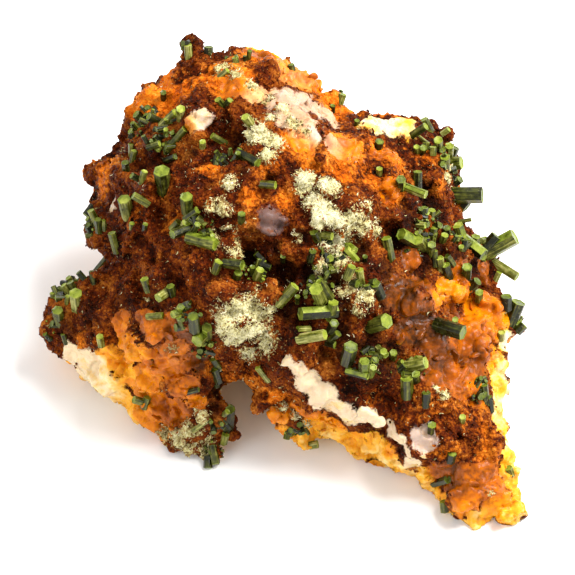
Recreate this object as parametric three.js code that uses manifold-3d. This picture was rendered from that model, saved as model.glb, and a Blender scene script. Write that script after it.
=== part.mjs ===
// Pyromorphite on its matrix: short six-sided prisms grown over a rusty, quartz-veined rock.
// Millimetres, Z up. X runs along the width, and the specimen's usual face looks down at -Y.
// The rock is cut flat underneath, and rests on that cut.

import * as THREE from "three";
import { mergeVertices } from "three/addons/utils/BufferGeometryUtils.js";
import { ImprovedNoise } from "three/addons/math/ImprovedNoise.js";
import { ConvexGeometry } from "three/addons/geometries/ConvexGeometry.js";
import Module from "manifold-3d";

const wasm = await Module();
wasm.setup();

// Driving sizes.
const WIDTH = 49.0;               // left tip to right tip of the rock
const VIEW_ANGLE = 50;            // degrees above the horizon from which the face is drawn
const FACE_STEP = 2.1;            // spacing of the rock's facets
const EDGE_GAP = 0.8;             // least distance from the outline to an inner facet corner
const FACET_JITTER = 0.55;        // how irregular the facets are, as a share of their spacing
const NET_START = [2, 3];         // where the net of facets begins, left of and below the outline
const NET_REACH = 54;             // how far the net goes each way from there

// The rock's surface.
const LUMP_SIZE = 5;              // lumps across the face
const LUMP_RISE = 0.9;
const KNOB_SIZE = 2.3;            // smaller knobs on the lumps
const KNOB_RISE = 0.45;
const RIM_WIDTH = 2.5;            // band along the outline where the lumps die away
const RIM_KNOBS = 0.3;            // share of the knobs that is left at the outline itself
const RIM_DROP = 0.9;             // how far the surface turns away at its outline
const RIM_CURVE = 0.9;            // how wide that turn is
const LOWEST_FACE = 0.35;         // the face stays this far above the cut below
const SIDE_SLOPE = 3.4;           // how fast the rock deepens behind a side edge of its outline
const SLOPE_CHANGE = 1.65;        // less behind the top edge, by this, and more behind the bottom
const SIDE_WAVE = 8;              // distance over which that depth varies
const SIDE_UNEVEN = 0.08;         // by this share
const SIDE_LIP = 0.5;             // extra depth at once behind an edge, as a share of LIP_WIDTH
const LIP_WIDTH = 1.2;
const HEIGHT_SOFTNESS = 0.4;      // how far a given height holds before it blends with its neighbours
const HEIGHT_FALLOFF = 2.2;       // how fast it loses its say beyond
const BACK_SIZE = 6;              // lumps on the rock's back
const BACK_RISE = 1.1;

// The crystals.
const SOCKET_GAP = 0.2;           // clear space between a crystal's root and the rock
const ROOT_DEPTH = 0.55;          // how far a crystal's root goes into the rock
const TIP_CLEARANCE = 0.3;        // how far a tip's middle stands off the rock, in thicknesses
const TOUCH_VOLUME = 0.004;       // crystals that share more than this, in cubic mm, are one solid
const CLUSTER_NODES = 58;         // clusters that are pieces of their own, the largest first
const SIDE_SINK = 0.12;           // how far a root sinks from the viewer, in thicknesses
const ROLL_STEP = 2.39996;        // radians each crystal is turned about its length from the last

// The quartz blocks, in shares of a block's length (ends) and width (the rest).
const BLOCK_ENDS = [[-0.34, 1], [0.3, 0.92]];   // where each end's ring is, and how thick
const BLOCK_TIPS = [[0.5, 0.1, 0.05], [-0.5, -0.08, 0]];
const BLOCK_SKEW = 0.4;           // how uneven a ring's corners are, as a share of a quarter turn
const BLOCK_SINK = 0.12;          // how deep a block's middle is below the face

const ROCK_COLOUR = 0x6b3016;
const CRYSTAL_COLOUR = 0x5e6e3a;

// The rock's outline as it is drawn from VIEW_ANGLE: [across, up], clockwise from the top spike.
const OUTLINE = [
  [18.8, 54.1], [19.9, 53.4], [20.3, 52.8], [21.4, 52.5], [22.6, 52.4], [24.1, 53.1], [25, 53.3],
  [26.8, 52.9], [28.3, 51.9], [29.1, 51.3], [30.9, 50.6], [32, 49.6], [32.2, 48.7], [33.1, 48.7],
  [34.3, 48.2], [34.5, 47.4], [35.1, 46.8], [35.8, 46.4], [37.5, 46.6], [40.5, 46.6], [42.4, 46],
  [44, 45.2], [45, 44.8], [45.5, 43.7], [46, 42.8], [46.3, 41.4], [46.4, 39.5], [46, 38.3],
  [46.3, 37.1], [46.6, 35.5], [47.4, 34.1], [48.8, 32.7], [50.6, 31.9], [50.2, 30.7], [50.1, 28.7],
  [51.2, 27.9], [52.4, 27.1], [52.8, 26], [52.5, 24.6], [51.2, 23.7], [50.7, 22.4], [50.4, 20.2],
  [51, 19.6], [50.9, 18.4], [50.5, 16.9], [50.5, 15.5], [50.8, 14.1], [51.1, 12], [51.3, 10.9],
  [51.4, 9.3], [52.1, 7.8], [52.2, 6.6], [51.7, 5.4], [50.9, 5], [50, 5.5], [49, 6],
  [48.2, 5.5], [48, 4.8], [47, 4.7], [46.1, 5.3], [45.5, 6], [44.3, 6.7], [43.8, 7.7],
  [42, 8.8], [41.6, 9.7], [39.7, 10.3], [37.8, 10.9], [36.6, 11.3], [35.1, 11.8], [34.5, 12.8],
  [33.6, 13.4], [31.7, 13.8], [31.3, 12.9], [30.5, 12.4], [29.6, 12.8], [28.8, 13.7], [27.9, 14.6],
  [27.1, 15.4], [27.3, 16.8], [25.7, 16.9], [25.5, 18.3], [24.7, 19.4], [23.8, 19.7], [22.9, 19.2],
  [22.2, 18.5], [22.5, 17.6], [23.2, 17], [23.6, 15.8], [23.8, 14.5], [22.9, 13.8], [22.2, 13.2],
  [22.3, 12], [21.5, 11.2], [20.6, 10.9], [20.1, 11.8], [18.4, 12.5], [17.3, 12.3], [16.2, 13.2],
  [15.1, 14.3], [13.4, 15.5], [11.8, 16.6], [10.3, 17.9], [8.8, 18.7], [7.6, 19.5], [6.8, 21.1],
  [5.5, 21.7], [4.5, 22.9], [3.9, 24.2], [3.8, 25.3], [4, 26.3], [4.8, 27.2], [5.8, 28.2],
  [7.2, 28.9], [8.8, 29.6], [9.6, 30.5], [10.3, 31.7], [9.9, 32.6], [8.7, 33.4], [8.4, 34.4],
  [8.7, 35.6], [8.3, 36.6], [8.2, 37.5], [8.8, 38.5], [8.1, 39.4], [7.8, 40.3], [8.1, 41.1],
  [9, 41.8], [9.8, 42.4], [11, 42.7], [11.5, 43.4], [11.6, 44.3], [12.1, 45.6], [12.2, 46.6],
  [13.2, 47.6], [13.9, 48.8], [14.8, 49.6], [15.7, 50.2], [17.1, 50.8], [18, 51.8], [18, 52.7],
  [18.3, 53.5],
];

// Heights above the floor: [across, up, height]. The first block follows the outline.
const HEIGHTS = [
  [18.8, 53.5, 25.5], [25, 52.9, 25], [30, 50.3, 23.5], [34.5, 47.2, 20.5], [40.5, 46.2, 18],
  [45, 44.5, 16], [46.2, 39.5, 13.5], [46.4, 35.5, 12.5], [50, 31.5, 10], [50.2, 28.5, 9],
  [52.6, 26, 7.5], [50.4, 20.3, 5], [50.8, 14.5, 3.5], [52, 7.5, 1.5], [50.9, 5.2, 0.9],
  [47.2, 4.9, 0.9], [44, 7.2, 1.2], [41.7, 9.5, 1.3], [37.8, 11, 1.6], [34.6, 12.7, 2.2],
  [31.2, 13.5, 3], [29, 13.5, 3.5], [25.8, 17.1, 8], [24.6, 19.2, 9.8], [22.5, 17.9, 8],
  [23.8, 14.7, 3], [20.8, 11.1, 0.9], [16.5, 13.1, 1], [11.8, 16.7, 1.6], [7.8, 19.5, 3],
  [4.8, 22.5, 5.5], [3.9, 25.3, 7.5], [6, 28.3, 9.5], [10, 31.3, 11.5], [8.5, 34, 12.5],
  [8.4, 37.5, 13.5], [8, 40.3, 14.5], [11.5, 43.5, 17], [12.4, 46.3, 18.5], [14.8, 49.5, 21.5],

  [18, 52.3, 25], [23, 50, 27], [27.5, 49.5, 26.5], [25, 46.5, 28], [30.5, 44.5, 27.5],
  [35, 43.5, 25], [39.5, 44.5, 21], [43, 42.5, 18.5], [15.5, 47, 23], [20, 46.5, 27.5],
  [16, 43.5, 24], [27, 40.5, 27.5], [33, 40.5, 26], [38.5, 40, 23.5], [43, 39.5, 19],
  [11, 40.5, 18.5], [15, 39, 23], [20, 38.5, 26], [25, 37, 26.5], [30.5, 37, 26],
  [35, 36, 25], [40, 36, 21.5], [44, 36, 17.5], [10.5, 36, 16.5], [14.5, 35, 21],
  [19.5, 33.5, 23.5], [24.5, 33.5, 24], [30, 32.5, 23.5], [35, 32, 22.5], [40, 32.5, 19.5],
  [45, 33, 16.5], [48, 31.7, 13], [12, 32, 17], [16.5, 31, 20], [21.5, 29.5, 21.5],
  [26.5, 29, 21.5], [31.5, 29, 21], [36, 28.5, 19.5], [41, 29, 17], [45.5, 29.5, 15],
  [49.2, 28.5, 10.5], [6.5, 26.3, 10], [9.5, 27.5, 13], [13.5, 28, 16.5], [18.5, 26.3, 18.5],
  [24, 25.3, 19], [30, 25, 18.5], [34.5, 24, 17.5], [38.5, 24.3, 16.5], [43, 25.5, 14.5],
  [48, 25.5, 11], [6.5, 23.2, 7.2], [10.5, 24, 11.5], [15, 24, 14.8], [19.5, 23, 15.5],
  [23.8, 22.3, 14.8], [28.8, 21.7, 15.2], [33, 21, 14.6], [37.5, 20.3, 14], [42, 21, 12.5],
  [46.5, 21.5, 10.3], [49.2, 22.5, 8], [8.8, 21.1, 5.2], [11.5, 20.3, 7], [15, 20.5, 10.2],
  [20, 20.5, 11], [24, 20.9, 11.2], [27, 18.5, 10.2], [11.5, 18, 4], [15.5, 17.3, 6.2],
  [19.5, 17, 6.5], [21.4, 17.3, 7.2], [17.5, 14.5, 2.8], [20.8, 13.5, 2.2], [31, 19.5, 13],
  [35.2, 17.1, 11.6], [38.8, 15.3, 9.6], [40.5, 12.7, 7.2], [29.2, 16.7, 7], [33.2, 14.7, 4.8],
  [37.2, 12.7, 3.2], [40, 10.9, 2.2], [42.2, 17.3, 11], [45.2, 16.3, 9.5], [48.2, 17.3, 7.4],
  [44, 13.5, 8.2], [48, 13.5, 6.4], [45.2, 9.5, 5], [49.2, 9.5, 3.8], [47.2, 6.9, 2.4],
  [50.2, 6.9, 1.8],
];

// Dark hollows in the face: [across, up, radius, depth].
const HOLLOWS = [
  [23.3, 42.9, 1.4, 2.2], [22.2, 44.2, 0.9, 1.4], [25, 31.8, 1.2, 2.2], [28.6, 30.2, 1.5, 2],
  [45, 26.2, 1.5, 1.8], [15.5, 29.6, 1.1, 1.2], [19.2, 28.6, 1.2, 1.4], [40.6, 38, 1.1, 1.2],
  [31.8, 22.8, 1.3, 1], [36.2, 33.2, 1.1, 1.3], [12.2, 34, 1, 1.1], [43.6, 29.4, 1.2, 1.4],
];

// Blocky quartz crystals in the rock: [across, up, length, width, turn in degrees].
const QUARTZ_BLOCKS = [
  [11.3, 21.5, 2.2, 1.8, 80], [14, 22.3, 2.6, 2, 10], [16.1, 21.4, 3.2, 3, 0], [15, 19.5, 2.6, 2.2, 0],
  [14.1, 16.2, 2.2, 1.8, 140], [16.8, 16.5, 3.2, 3.4, 60], [19.4, 17, 2.2, 2, 0],
  [17.8, 19, 2.8, 2.2, 0], [19, 21, 3, 2.4, 20], [8.8, 20.9, 3.4, 3, 130], [10, 18.8, 3.2, 2.2, 140],
  [41.2, 27.5, 3.4, 5.2, 95], [41.8, 24.1, 2.4, 2.2, 60], [45, 28.3, 3, 2.2, 10],
  [48.7, 27.1, 4.6, 2.8, 150], [47, 22.5, 5, 3.8, 20], [49.7, 21.3, 2.6, 2.8, 90],
  [50, 18.9, 2, 2.4, 90], [48.2, 13.7, 4, 2.4, 160], [42, 14.1, 2.8, 2.2, 150],
  [43.2, 10.6, 3.4, 2.4, 10], [46.8, 8.3, 5, 3.4, 30], [50.6, 6.4, 3, 2.4, 20],
  [15.5, 47.5, 3.6, 2.8, 150], [20.5, 45.6, 3.2, 2.4, 160], [29.2, 49.7, 5, 2.6, 160],
  [33, 47.8, 2.2, 2, 0], [39.8, 45.4, 4.6, 1.6, 0], [32, 18, 2.2, 4, 120], [36.5, 16.3, 4.4, 2, 150],
];

// Pyromorphite prisms by place: [root across, root up, tip across, tip up, thickness, rise], where
// rise is how far the tip stands out of the face towards the viewer.
const PRISMS = {
  upper_left: [
    [13.4, 46.9, 12.4, 46.2, 0.9, 0.3], [12.1, 42.8, 11.7, 44.2, 0.8, 0.4], [18.2, 45.7, 18.2, 46.4, 1, 1.2],
    [16.5, 45, 17.7, 46.1, 1.1, 0.9], [17, 42.6, 18.7, 44.4, 0.9, 0.7],
    [15.9, 45.3, 14.9, 45.8, 0.9, 0.6], [22.4, 42.9, 23.6, 42.8, 0.8, 0.7], [24.3, 41.7, 25.9, 40.8, 1.1, 0.9],
    [16.6, 38.5, 16.4, 40.2, 1.7, 1.8], [14.9, 37.6, 15.4, 38.8, 0.8, 0.9], [12.9, 36.1, 12.6, 37.5, 1.4, 1.3],
    [19, 36.4, 18.9, 37.6, 1.3, 1.5], [18.8, 34.4, 17.5, 33.9, 1, 0.9],
    [19.5, 33.5, 21.8, 32.9, 1.3, 1.1], [19.6, 34.2, 20, 34.9, 0.7, 0.9],
  ],
  left_edge: [
    [11.7, 32.7, 11.3, 34.2, 0.9, 0.6],
    [11, 31.4, 10.9, 33.3, 0.7, 0.8], [9.5, 30.4, 10.7, 31.8, 0.8, 0.3], [11, 30.1, 9.5, 30, 0.8, 0.5],
  ],
  left_lobe: [
    [7.7, 26.9, 7.6, 28.2, 1.4, 1.5], [5.8, 25.4, 5.7, 26.5, 1.2, 1.3],
    [17.1, 28.4, 16.1, 27.7, 1, 0.9], [19, 29.9, 19.4, 28, 0.7, 0.6],
    [18.4, 26.4, 17.6, 26.1, 0.8, 0.7], [18.2, 26.3, 18.4, 26.9, 0.8, 0.8], [19.7, 24.9, 19.6, 26, 1.2, 0.9],
    [20.9, 24.1, 20.9, 24.9, 1.1, 1.6], [20.7, 24.3, 19.9, 23.5, 1.3, 0.9], [21.9, 21, 21.4, 21.8, 0.9, 0.7],
    [21.8, 19.8, 21.5, 20.7, 0.9, 0.7],
  ],
  left_foot: [
    [22.8, 14.9, 23, 16.7, 1.2, 0.5], [23.1, 14.1, 23.8, 14.4, 1, 0.3], [21.8, 12.5, 22.2, 11.6, 0.9, 0.2],
    
  ],
  centre: [
    [27.6, 30.4, 27.6, 30.9, 0.8, 1], [25.7, 29.6, 26.1, 30.5, 0.9, 0.9], [27, 28.6, 27.1, 29.2, 0.9, 0.8],
    [28.1, 27.4, 29.5, 28.9, 1.1, 0.7], [31.9, 27.7, 31.5, 28.6, 1.4, 1.6], [32.7, 28.1, 31.8, 29.4, 0.9, 0.8],
    [33, 26.1, 33.2, 27.3, 1.1, 0.9], [33, 26.4, 30, 26.2, 1.4, 1.3], [33, 24.7, 33.3, 25.3, 1, 1.1],
    [30.2, 23.8, 32.4, 24.2, 1.1, 1], [34.6, 21.8, 34.9, 23, 1.5, 1.7], [36.8, 25, 38.4, 25.5, 1.6, 1.9],
    [36.2, 20.6, 36.2, 21.6, 1.1, 1.1],
    [36.9, 20.4, 37.1, 21, 0.8, 0.9], [35, 20.5, 36.6, 20.1, 0.8, 0.7], [37.7, 28.2, 37.3, 29.1, 1.1, 0.7],
    [25.4, 19.5, 25.2, 20.4, 0.9, 0.6], [23.1, 31.1, 24.4, 30.9, 1.1, 0.6],
  ],
  crest: [
    [38.8, 31.8, 38.4, 33.6, 1.1, 0.8], [35.2, 31.7, 34.4, 32.6, 0.8, 0.6], [35.9, 29.4, 35.7, 30.5, 0.9, 0.7],
    [34.6, 32.9, 35.3, 32.3, 0.9, 0.6], [39.9, 38.8, 39.9, 39.4, 1, 1.2],
    [40.1, 38.8, 42.4, 37.9, 0.9, 0.9], [41.7, 38.3, 41.7, 40.3, 1, 0.6], 
    [41, 33.4, 39.9, 34, 1.3, 1.1], [42.1, 32.9, 41.6, 33.5, 1.2, 1.3],
    [42.9, 32.2, 43, 33, 0.9, 1.3], [44.9, 32.4, 44.8, 32.9, 0.8, 1.3], [43.9, 30.8, 43.8, 31.7, 0.9, 0.6],
    [44.7, 30.1, 44.4, 31, 1, 0.6],
  ],
  top: [
    [18.8, 52, 18.7, 53.2, 0.9, 0.5], [19.5, 51, 19.4, 51.7, 0.8, 0.9], 
    [33.1, 42.8, 33, 43.5, 0.9, 0.7], [32.2, 40.6, 32, 41.5, 0.9, 0.7],
    
  ],
  right_edge: [
    [41.3, 44.1, 42.7, 45, 0.9, 0.8], [43.1, 45, 42.6, 45.9, 1, 0.3], [43.8, 45, 43.4, 45.7, 0.9, 0.3],
    [44, 42.9, 43.9, 43.6, 1, 1.2], [44.9, 43.6, 44.9, 44.4, 0.9, 0.7], [45.1, 42.4, 45.1, 43.1, 1, 0.8],
    [44.6, 41.1, 44.6, 41.9, 1.1, 0.8], [45.4, 41.3, 46.4, 41.4, 1.4, 0.3],
    [45.6, 38.1, 48.5, 38.1, 1.7, 0.4], [46.3, 37.5, 47, 36.9, 1.3, 0.1], [46.2, 33.9, 45.8, 35, 1.2, 0.6],
    [46.3, 33.7, 48.4, 32, 1.3, 0.9], [48.7, 32.9, 48.6, 33.6, 1.2, 0.4],
    [49, 32.4, 51.7, 33.9, 1.8, 0.7], [50, 31.1, 52, 29.8, 1.1, 0.3], [46.6, 30, 46.6, 30.8, 1.1, 1.2],
    [47, 28.7, 47.7, 29.4, 1, 0.6], [50.7, 27, 50.7, 27.9, 1.2, 0.4], [51.3, 25.5, 52, 27.3, 1.6, 0.6],
  ],
  right_lobe: [
    [43.8, 25, 46, 24.3, 1.6, 1], [39.9, 20.9, 42.3, 21.4, 1.3, 1.1],
    [40.5, 18.4, 40.4, 19.9, 1.3, 0.9], 
    [48.4, 17.6, 48.2, 19.1, 0.9, 0.6], [48.9, 16.9, 48.7, 17.9, 0.8, 0.5], [46.9, 13.1, 46.8, 14.2, 0.8, 1.1],
    [48.1, 15.4, 49.1, 14.5, 0.8, 0.6], [43.5, 9.4, 44.6, 9.8, 0.9, 0.5], [51.1, 9.6, 51.5, 10.7, 0.9, 0.1],
    [35.4, 13.4, 36.6, 13.8, 0.7, 0.4],
  ],
};

// The drawing plane: across is X, up leans back with the view, and depth points at the viewer.
const TILT = THREE.MathUtils.degToRad(VIEW_ANGLE);
const ACROSS = new THREE.Vector3(1, 0, 0);
const UP = new THREE.Vector3(0, Math.sin(TILT), Math.cos(TILT));
const TOWARDS = new THREE.Vector3(0, -Math.cos(TILT), Math.sin(TILT));

function placeOnPlane(u, v, depth) {
  return new THREE.Vector3().addScaledVector(ACROSS, u).addScaledVector(UP, v).addScaledVector(TOWARDS, depth);
}

// The depth at which the line of sight through (u, v) is at this height.
function depthAtHeight(v, height) {
  return (height - v * UP.z) / TOWARDS.z;
}

// A repeatable random number from 0 to 1.
let seed = 11;
function random() {
  seed = (seed * 1664525 + 1013904223) % 4294967296;
  return seed / 4294967296;
}

const noise = new ImprovedNoise();

// The outline seen from a point: its least distance, and whether it faces up (1) or down (-1) there.
function nearestEdge(u, v) {
  let distance = Infinity;
  let facing = 0;
  let weights = 0;
  OUTLINE.forEach(([u0, v0], i) => {
    const [u1, v1] = OUTLINE[(i + 1) % OUTLINE.length];
    const du = u1 - u0;
    const dv = v1 - v0;
    const length = Math.hypot(du, dv);
    const t = THREE.MathUtils.clamp(((u - u0) * du + (v - v0) * dv) / length ** 2, 0, 1);
    const away = Math.hypot(u - u0 - t * du, v - v0 - t * dv);
    const weight = length / (away + 1) ** 4;
    distance = Math.min(distance, away);
    facing += (weight * du) / length;
    weights += weight;
  });
  return { distance, facing: facing / weights };
}

function insideOutline(u, v) {
  let inside = false;
  OUTLINE.forEach(([u0, v0], i) => {
    const [u1, v1] = OUTLINE[(i + 1) % OUTLINE.length];
    if (v0 > v !== v1 > v && u < u0 + ((u1 - u0) * (v - v0)) / (v1 - v0)) inside = !inside;
  });
  return inside;
}

// Rounded bumps of this size, each up to rise high or deep.
function bumps(u, v, size, rise) {
  return 2 * rise * noise.noise(u / size, v / size, size);
}

// Height of the face, from the nearest given heights, with its lumps, knobs and hollows.
function faceHeight(u, v, rimDistance) {
  let sum = 0;
  let weights = 0;
  for (const [pu, pv, height] of HEIGHTS) {
    const weight = 1 / ((pu - u) ** 2 + (pv - v) ** 2 + HEIGHT_SOFTNESS) ** HEIGHT_FALLOFF;
    sum += weight * height;
    weights += weight;
  }
  const inner = THREE.MathUtils.smoothstep(rimDistance, 0, RIM_WIDTH);
  let height = sum / weights;
  height += inner * bumps(u, v, LUMP_SIZE, LUMP_RISE);
  height += (RIM_KNOBS + (1 - RIM_KNOBS) * inner) * bumps(u, v, KNOB_SIZE, KNOB_RISE);
  for (const [hu, hv, radius, depth] of HOLLOWS) {
    height -= depth * Math.exp(-((u - hu) ** 2 + (v - hv) ** 2) / radius ** 2);
  }
  height -= RIM_DROP * Math.exp(-rimDistance / RIM_CURVE);
  return Math.max(height, LOWEST_FACE);
}

// How far the rock goes on behind its face: upright walls at the back, steep ones at the sides.
function thickness(u, v, edge) {
  const slope = SIDE_SLOPE - SLOPE_CHANGE * edge.facing;
  const uneven = 1 + bumps(u, v, SIDE_WAVE, SIDE_UNEVEN);
  return edge.distance * slope * uneven + SIDE_LIP * Math.min(edge.distance, LIP_WIDTH);
}

// The back surface's own lumps, as a shift of a point on it.
function backShift(point, rimDistance) {
  const rise = 2 * BACK_RISE * THREE.MathUtils.smoothstep(rimDistance, 0, RIM_WIDTH);
  const at = point.clone().divideScalar(BACK_SIZE);
  return new THREE.Vector3(
    rise * noise.noise(at.x, at.y, at.z + 30), rise * noise.noise(at.x + 40, at.y, at.z),
    rise * noise.noise(at.x, at.y + 50, at.z));
}

// Delaunay triangles of points in the drawing plane, as index triples turning anticlockwise.
function triangulate(points) {
  const all = [...points, [-900, -900], [900, -900], [0, 1400]];
  const count = points.length;
  const circle = (a, b, c) => {
    const [ax, ay] = all[a];
    const [bx, by] = all[b];
    const [cx, cy] = all[c];
    const d = 2 * (ax * (by - cy) + bx * (cy - ay) + cx * (ay - by));
    const a2 = ax * ax + ay * ay;
    const b2 = bx * bx + by * by;
    const c2 = cx * cx + cy * cy;
    const x = (a2 * (by - cy) + b2 * (cy - ay) + c2 * (ay - by)) / d;
    const y = (a2 * (cx - bx) + b2 * (ax - cx) + c2 * (bx - ax)) / d;
    return { corners: [a, b, c], x, y, r2: (ax - x) ** 2 + (ay - y) ** 2 };
  };
  let triangles = [circle(count, count + 1, count + 2)];
  for (let i = 0; i < count; i++) {
    const [x, y] = all[i];
    const rim = new Map();
    const kept = [];
    for (const triangle of triangles) {
      if ((triangle.x - x) ** 2 + (triangle.y - y) ** 2 >= triangle.r2) {
        kept.push(triangle);
        continue;
      }
      triangle.corners.forEach((from, k) => {
        const to = triangle.corners[(k + 1) % 3];
        if (!rim.delete(`${to} ${from}`)) rim.set(`${from} ${to}`, [from, to]);
      });
    }
    triangles = [...kept, ...[...rim.values()].map(([from, to]) => circle(from, to, i))];
  }
  return triangles.map((t) => t.corners).filter((corners) => Math.max(...corners) < count);
}

function edgesOf(triangles) {
  const edges = new Map();
  triangles.forEach((corners, index) => {
    corners.forEach((from, k) => {
      const to = corners[(k + 1) % 3];
      const key = from < to ? `${from} ${to}` : `${to} ${from}`;
      edges.set(key, [...(edges.get(key) ?? []), index]);
    });
  });
  return edges;
}

// The face as a net of triangles inside the outline, with a list of which corners are on its rim.
function faceNet() {
  const points = OUTLINE.map((p) => [...p]);
  const rowStep = FACE_STEP * Math.sin(Math.PI / 3);
  for (let row = 0; row * rowStep < NET_REACH; row++) {
    for (let column = 0; column * FACE_STEP < NET_REACH; column++) {
      const shiftU = (random() - 0.5) * FACET_JITTER * FACE_STEP;
      const shiftV = (random() - 0.5) * FACET_JITTER * FACE_STEP;
      const u = NET_START[0] + (column + (row % 2) / 2) * FACE_STEP + shiftU;
      const v = NET_START[1] + row * rowStep + shiftV;
      if (insideOutline(u, v) && nearestEdge(u, v).distance > EDGE_GAP) points.push([u, v]);
    }
  }
  let triangles = triangulate(points).filter((corners) => {
    const u = (points[corners[0]][0] + points[corners[1]][0] + points[corners[2]][0]) / 3;
    const v = (points[corners[0]][1] + points[corners[1]][1] + points[corners[2]][1]) / 3;
    return insideOutline(u, v);
  });
  const rim = new Set();
  for (const [key, users] of edgesOf(triangles)) {
    if (users.length === 1) key.split(" ").forEach((corner) => rim.add(Number(corner)));
  }
  // An inner edge between two rim corners gets a corner of its own halfway, off the rim.
  for (let again = true; again; ) {
    again = false;
    for (const [key, users] of edgesOf(triangles)) {
      const [a, b] = key.split(" ").map(Number);
      if (users.length < 2 || !rim.has(a) || !rim.has(b)) continue;
      const middle = points.push([0, 1].map((k) => (points[a][k] + points[b][k]) / 2)) - 1;
      const halves = users.flatMap((index) => {
        const corners = triangles[index];
        return [a, b].map((end) => corners.map((corner) => (corner === end ? middle : corner)));
      });
      triangles = [...triangles.filter((_, index) => !users.includes(index)), ...halves];
      again = true;
      break;
    }
  }
  return { points, triangles, rim };
}

function spaceAboveFloor() {
  return solidFrom(new THREE.BoxGeometry(200, 200, 100).translate(0, 0, 50));
}

// The whole rock before its crystals: the face, the back behind it, and the flat cut below.
function roughRock() {
  const { points, triangles, rim } = faceNet();
  const positions = [];
  const front = [];
  const back = [];
  points.forEach(([u, v], i) => {
    const edge = nearestEdge(u, v);
    const depth = depthAtHeight(v, faceHeight(u, v, rim.has(i) ? 0 : edge.distance));
    front[i] = positions.push(placeOnPlane(u, v, depth)) - 1;
    back[i] = front[i];
    if (rim.has(i)) return;
    const behind = placeOnPlane(u, v, depth - thickness(u, v, edge));
    back[i] = positions.push(behind.add(backShift(behind, edge.distance))) - 1;
  });
  const index = triangles.flatMap(([a, b, c]) => [front[a], front[b], front[c], back[c], back[b], back[a]]);
  const geometry = new THREE.BufferGeometry().setFromPoints(positions);
  geometry.setIndex(index);
  return solidFrom(geometry).intersect(spaceAboveFloor());
}

function solidFrom(geometry) {
  const bare = geometry.clone();
  bare.deleteAttribute("normal");
  bare.deleteAttribute("uv");
  const merged = mergeVertices(bare, 1e-5);
  return new wasm.Manifold(new wasm.Mesh({
    numProp: 3,
    vertProperties: new Float32Array(merged.attributes.position.array),
    triVerts: new Uint32Array(merged.index.array),
  }));
}

function geometryFrom(solid) {
  const mesh = solid.getMesh();
  const geometry = new THREE.BufferGeometry();
  geometry.setAttribute("position", new THREE.BufferAttribute(new Float32Array(mesh.vertProperties), 3));
  geometry.setIndex(new THREE.BufferAttribute(new Uint32Array(mesh.triVerts), 1));
  return geometry;
}

// Only the largest closed body of a solid: chips that a cut sets free are dropped.
function largestBody(solid) {
  const mesh = solid.getMesh();
  const parent = Array.from({ length: mesh.vertProperties.length / 3 }, (_, i) => i);
  const find = (i) => (parent[i] === i ? i : (parent[i] = find(parent[i])));
  const triangles = [];
  for (let i = 0; i < mesh.triVerts.length; i += 3) triangles.push([...mesh.triVerts.slice(i, i + 3)]);
  for (const [a, b, c] of triangles) {
    parent[find(a)] = find(b);
    parent[find(b)] = find(c);
  }
  const sizes = new Map();
  for (const [a] of triangles) sizes.set(find(a), (sizes.get(find(a)) ?? 0) + 1);
  const [largest] = [...sizes].sort((a, b) => b[1] - a[1])[0];
  const geometry = new THREE.BufferGeometry();
  geometry.setAttribute("position", new THREE.BufferAttribute(new Float32Array(mesh.vertProperties), 3));
  geometry.setIndex(triangles.filter(([a]) => find(a) === largest).flat());
  return solidFrom(geometry.toNonIndexed());
}

// Where the line of sight through (u, v) meets a rock, as a depth.
function surfaceDepth(rockMesh, u, v) {
  const far = 200;
  const ray = new THREE.Raycaster(placeOnPlane(u, v, far), TOWARDS.clone().negate());
  const [hit] = ray.intersectObject(rockMesh);
  if (hit) return far - hit.distance;
  return depthAtHeight(v, faceHeight(u, v, 0));
}

function rayTarget(solid) {
  return new THREE.Mesh(geometryFrom(solid), new THREE.MeshBasicMaterial({ side: THREE.DoubleSide }));
}

// A blocky crystal: the hull of a ring at each end and two blunt points, lying in the face.
function quartzBlock([u, v, length, width, turn], depth) {
  const corners = [];
  for (const [along, size] of BLOCK_ENDS) {
    for (let k = 0; k < 4; k++) {
      const angle = (k + BLOCK_SKEW * random()) * (Math.PI / 2);
      corners.push(new THREE.Vector3(
        along * length, 0.5 * width * size * Math.cos(angle), 0.5 * width * size * Math.sin(angle)));
    }
  }
  for (const [along, up, out] of BLOCK_TIPS) {
    corners.push(new THREE.Vector3(along * length, up * width, out * width));
  }
  const geometry = new ConvexGeometry(corners);
  geometry.rotateZ(THREE.MathUtils.degToRad(turn));
  geometry.applyMatrix4(new THREE.Matrix4().makeBasis(ACROSS, UP, TOWARDS));
  const centre = placeOnPlane(u, v, depth - BLOCK_SINK * width);
  return solidFrom(geometry.translate(centre.x, centre.y, centre.z));
}

// A six-sided prism from its root inside the rock to its flat tip, grown by gap all round.
function prism({ root, tip, radius, roll }, gap) {
  const hexagon = new THREE.Shape(Array.from({ length: 6 }, (_, k) => {
    const angle = roll + (k * Math.PI) / 3;
    return new THREE.Vector2((radius + gap) * Math.cos(angle), (radius + gap) * Math.sin(angle));
  }));
  const axis = tip.clone().sub(root).normalize();
  const length = tip.distanceTo(root) + 2 * gap;
  const geometry = new THREE.ExtrudeGeometry(hexagon, { depth: length, bevelEnabled: false });
  geometry.applyQuaternion(new THREE.Quaternion().setFromUnitVectors(new THREE.Vector3(0, 0, 1), axis));
  const start = root.clone().addScaledVector(axis, -gap);
  return solidFrom(geometry.translate(start.x, start.y, start.z));
}

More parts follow.
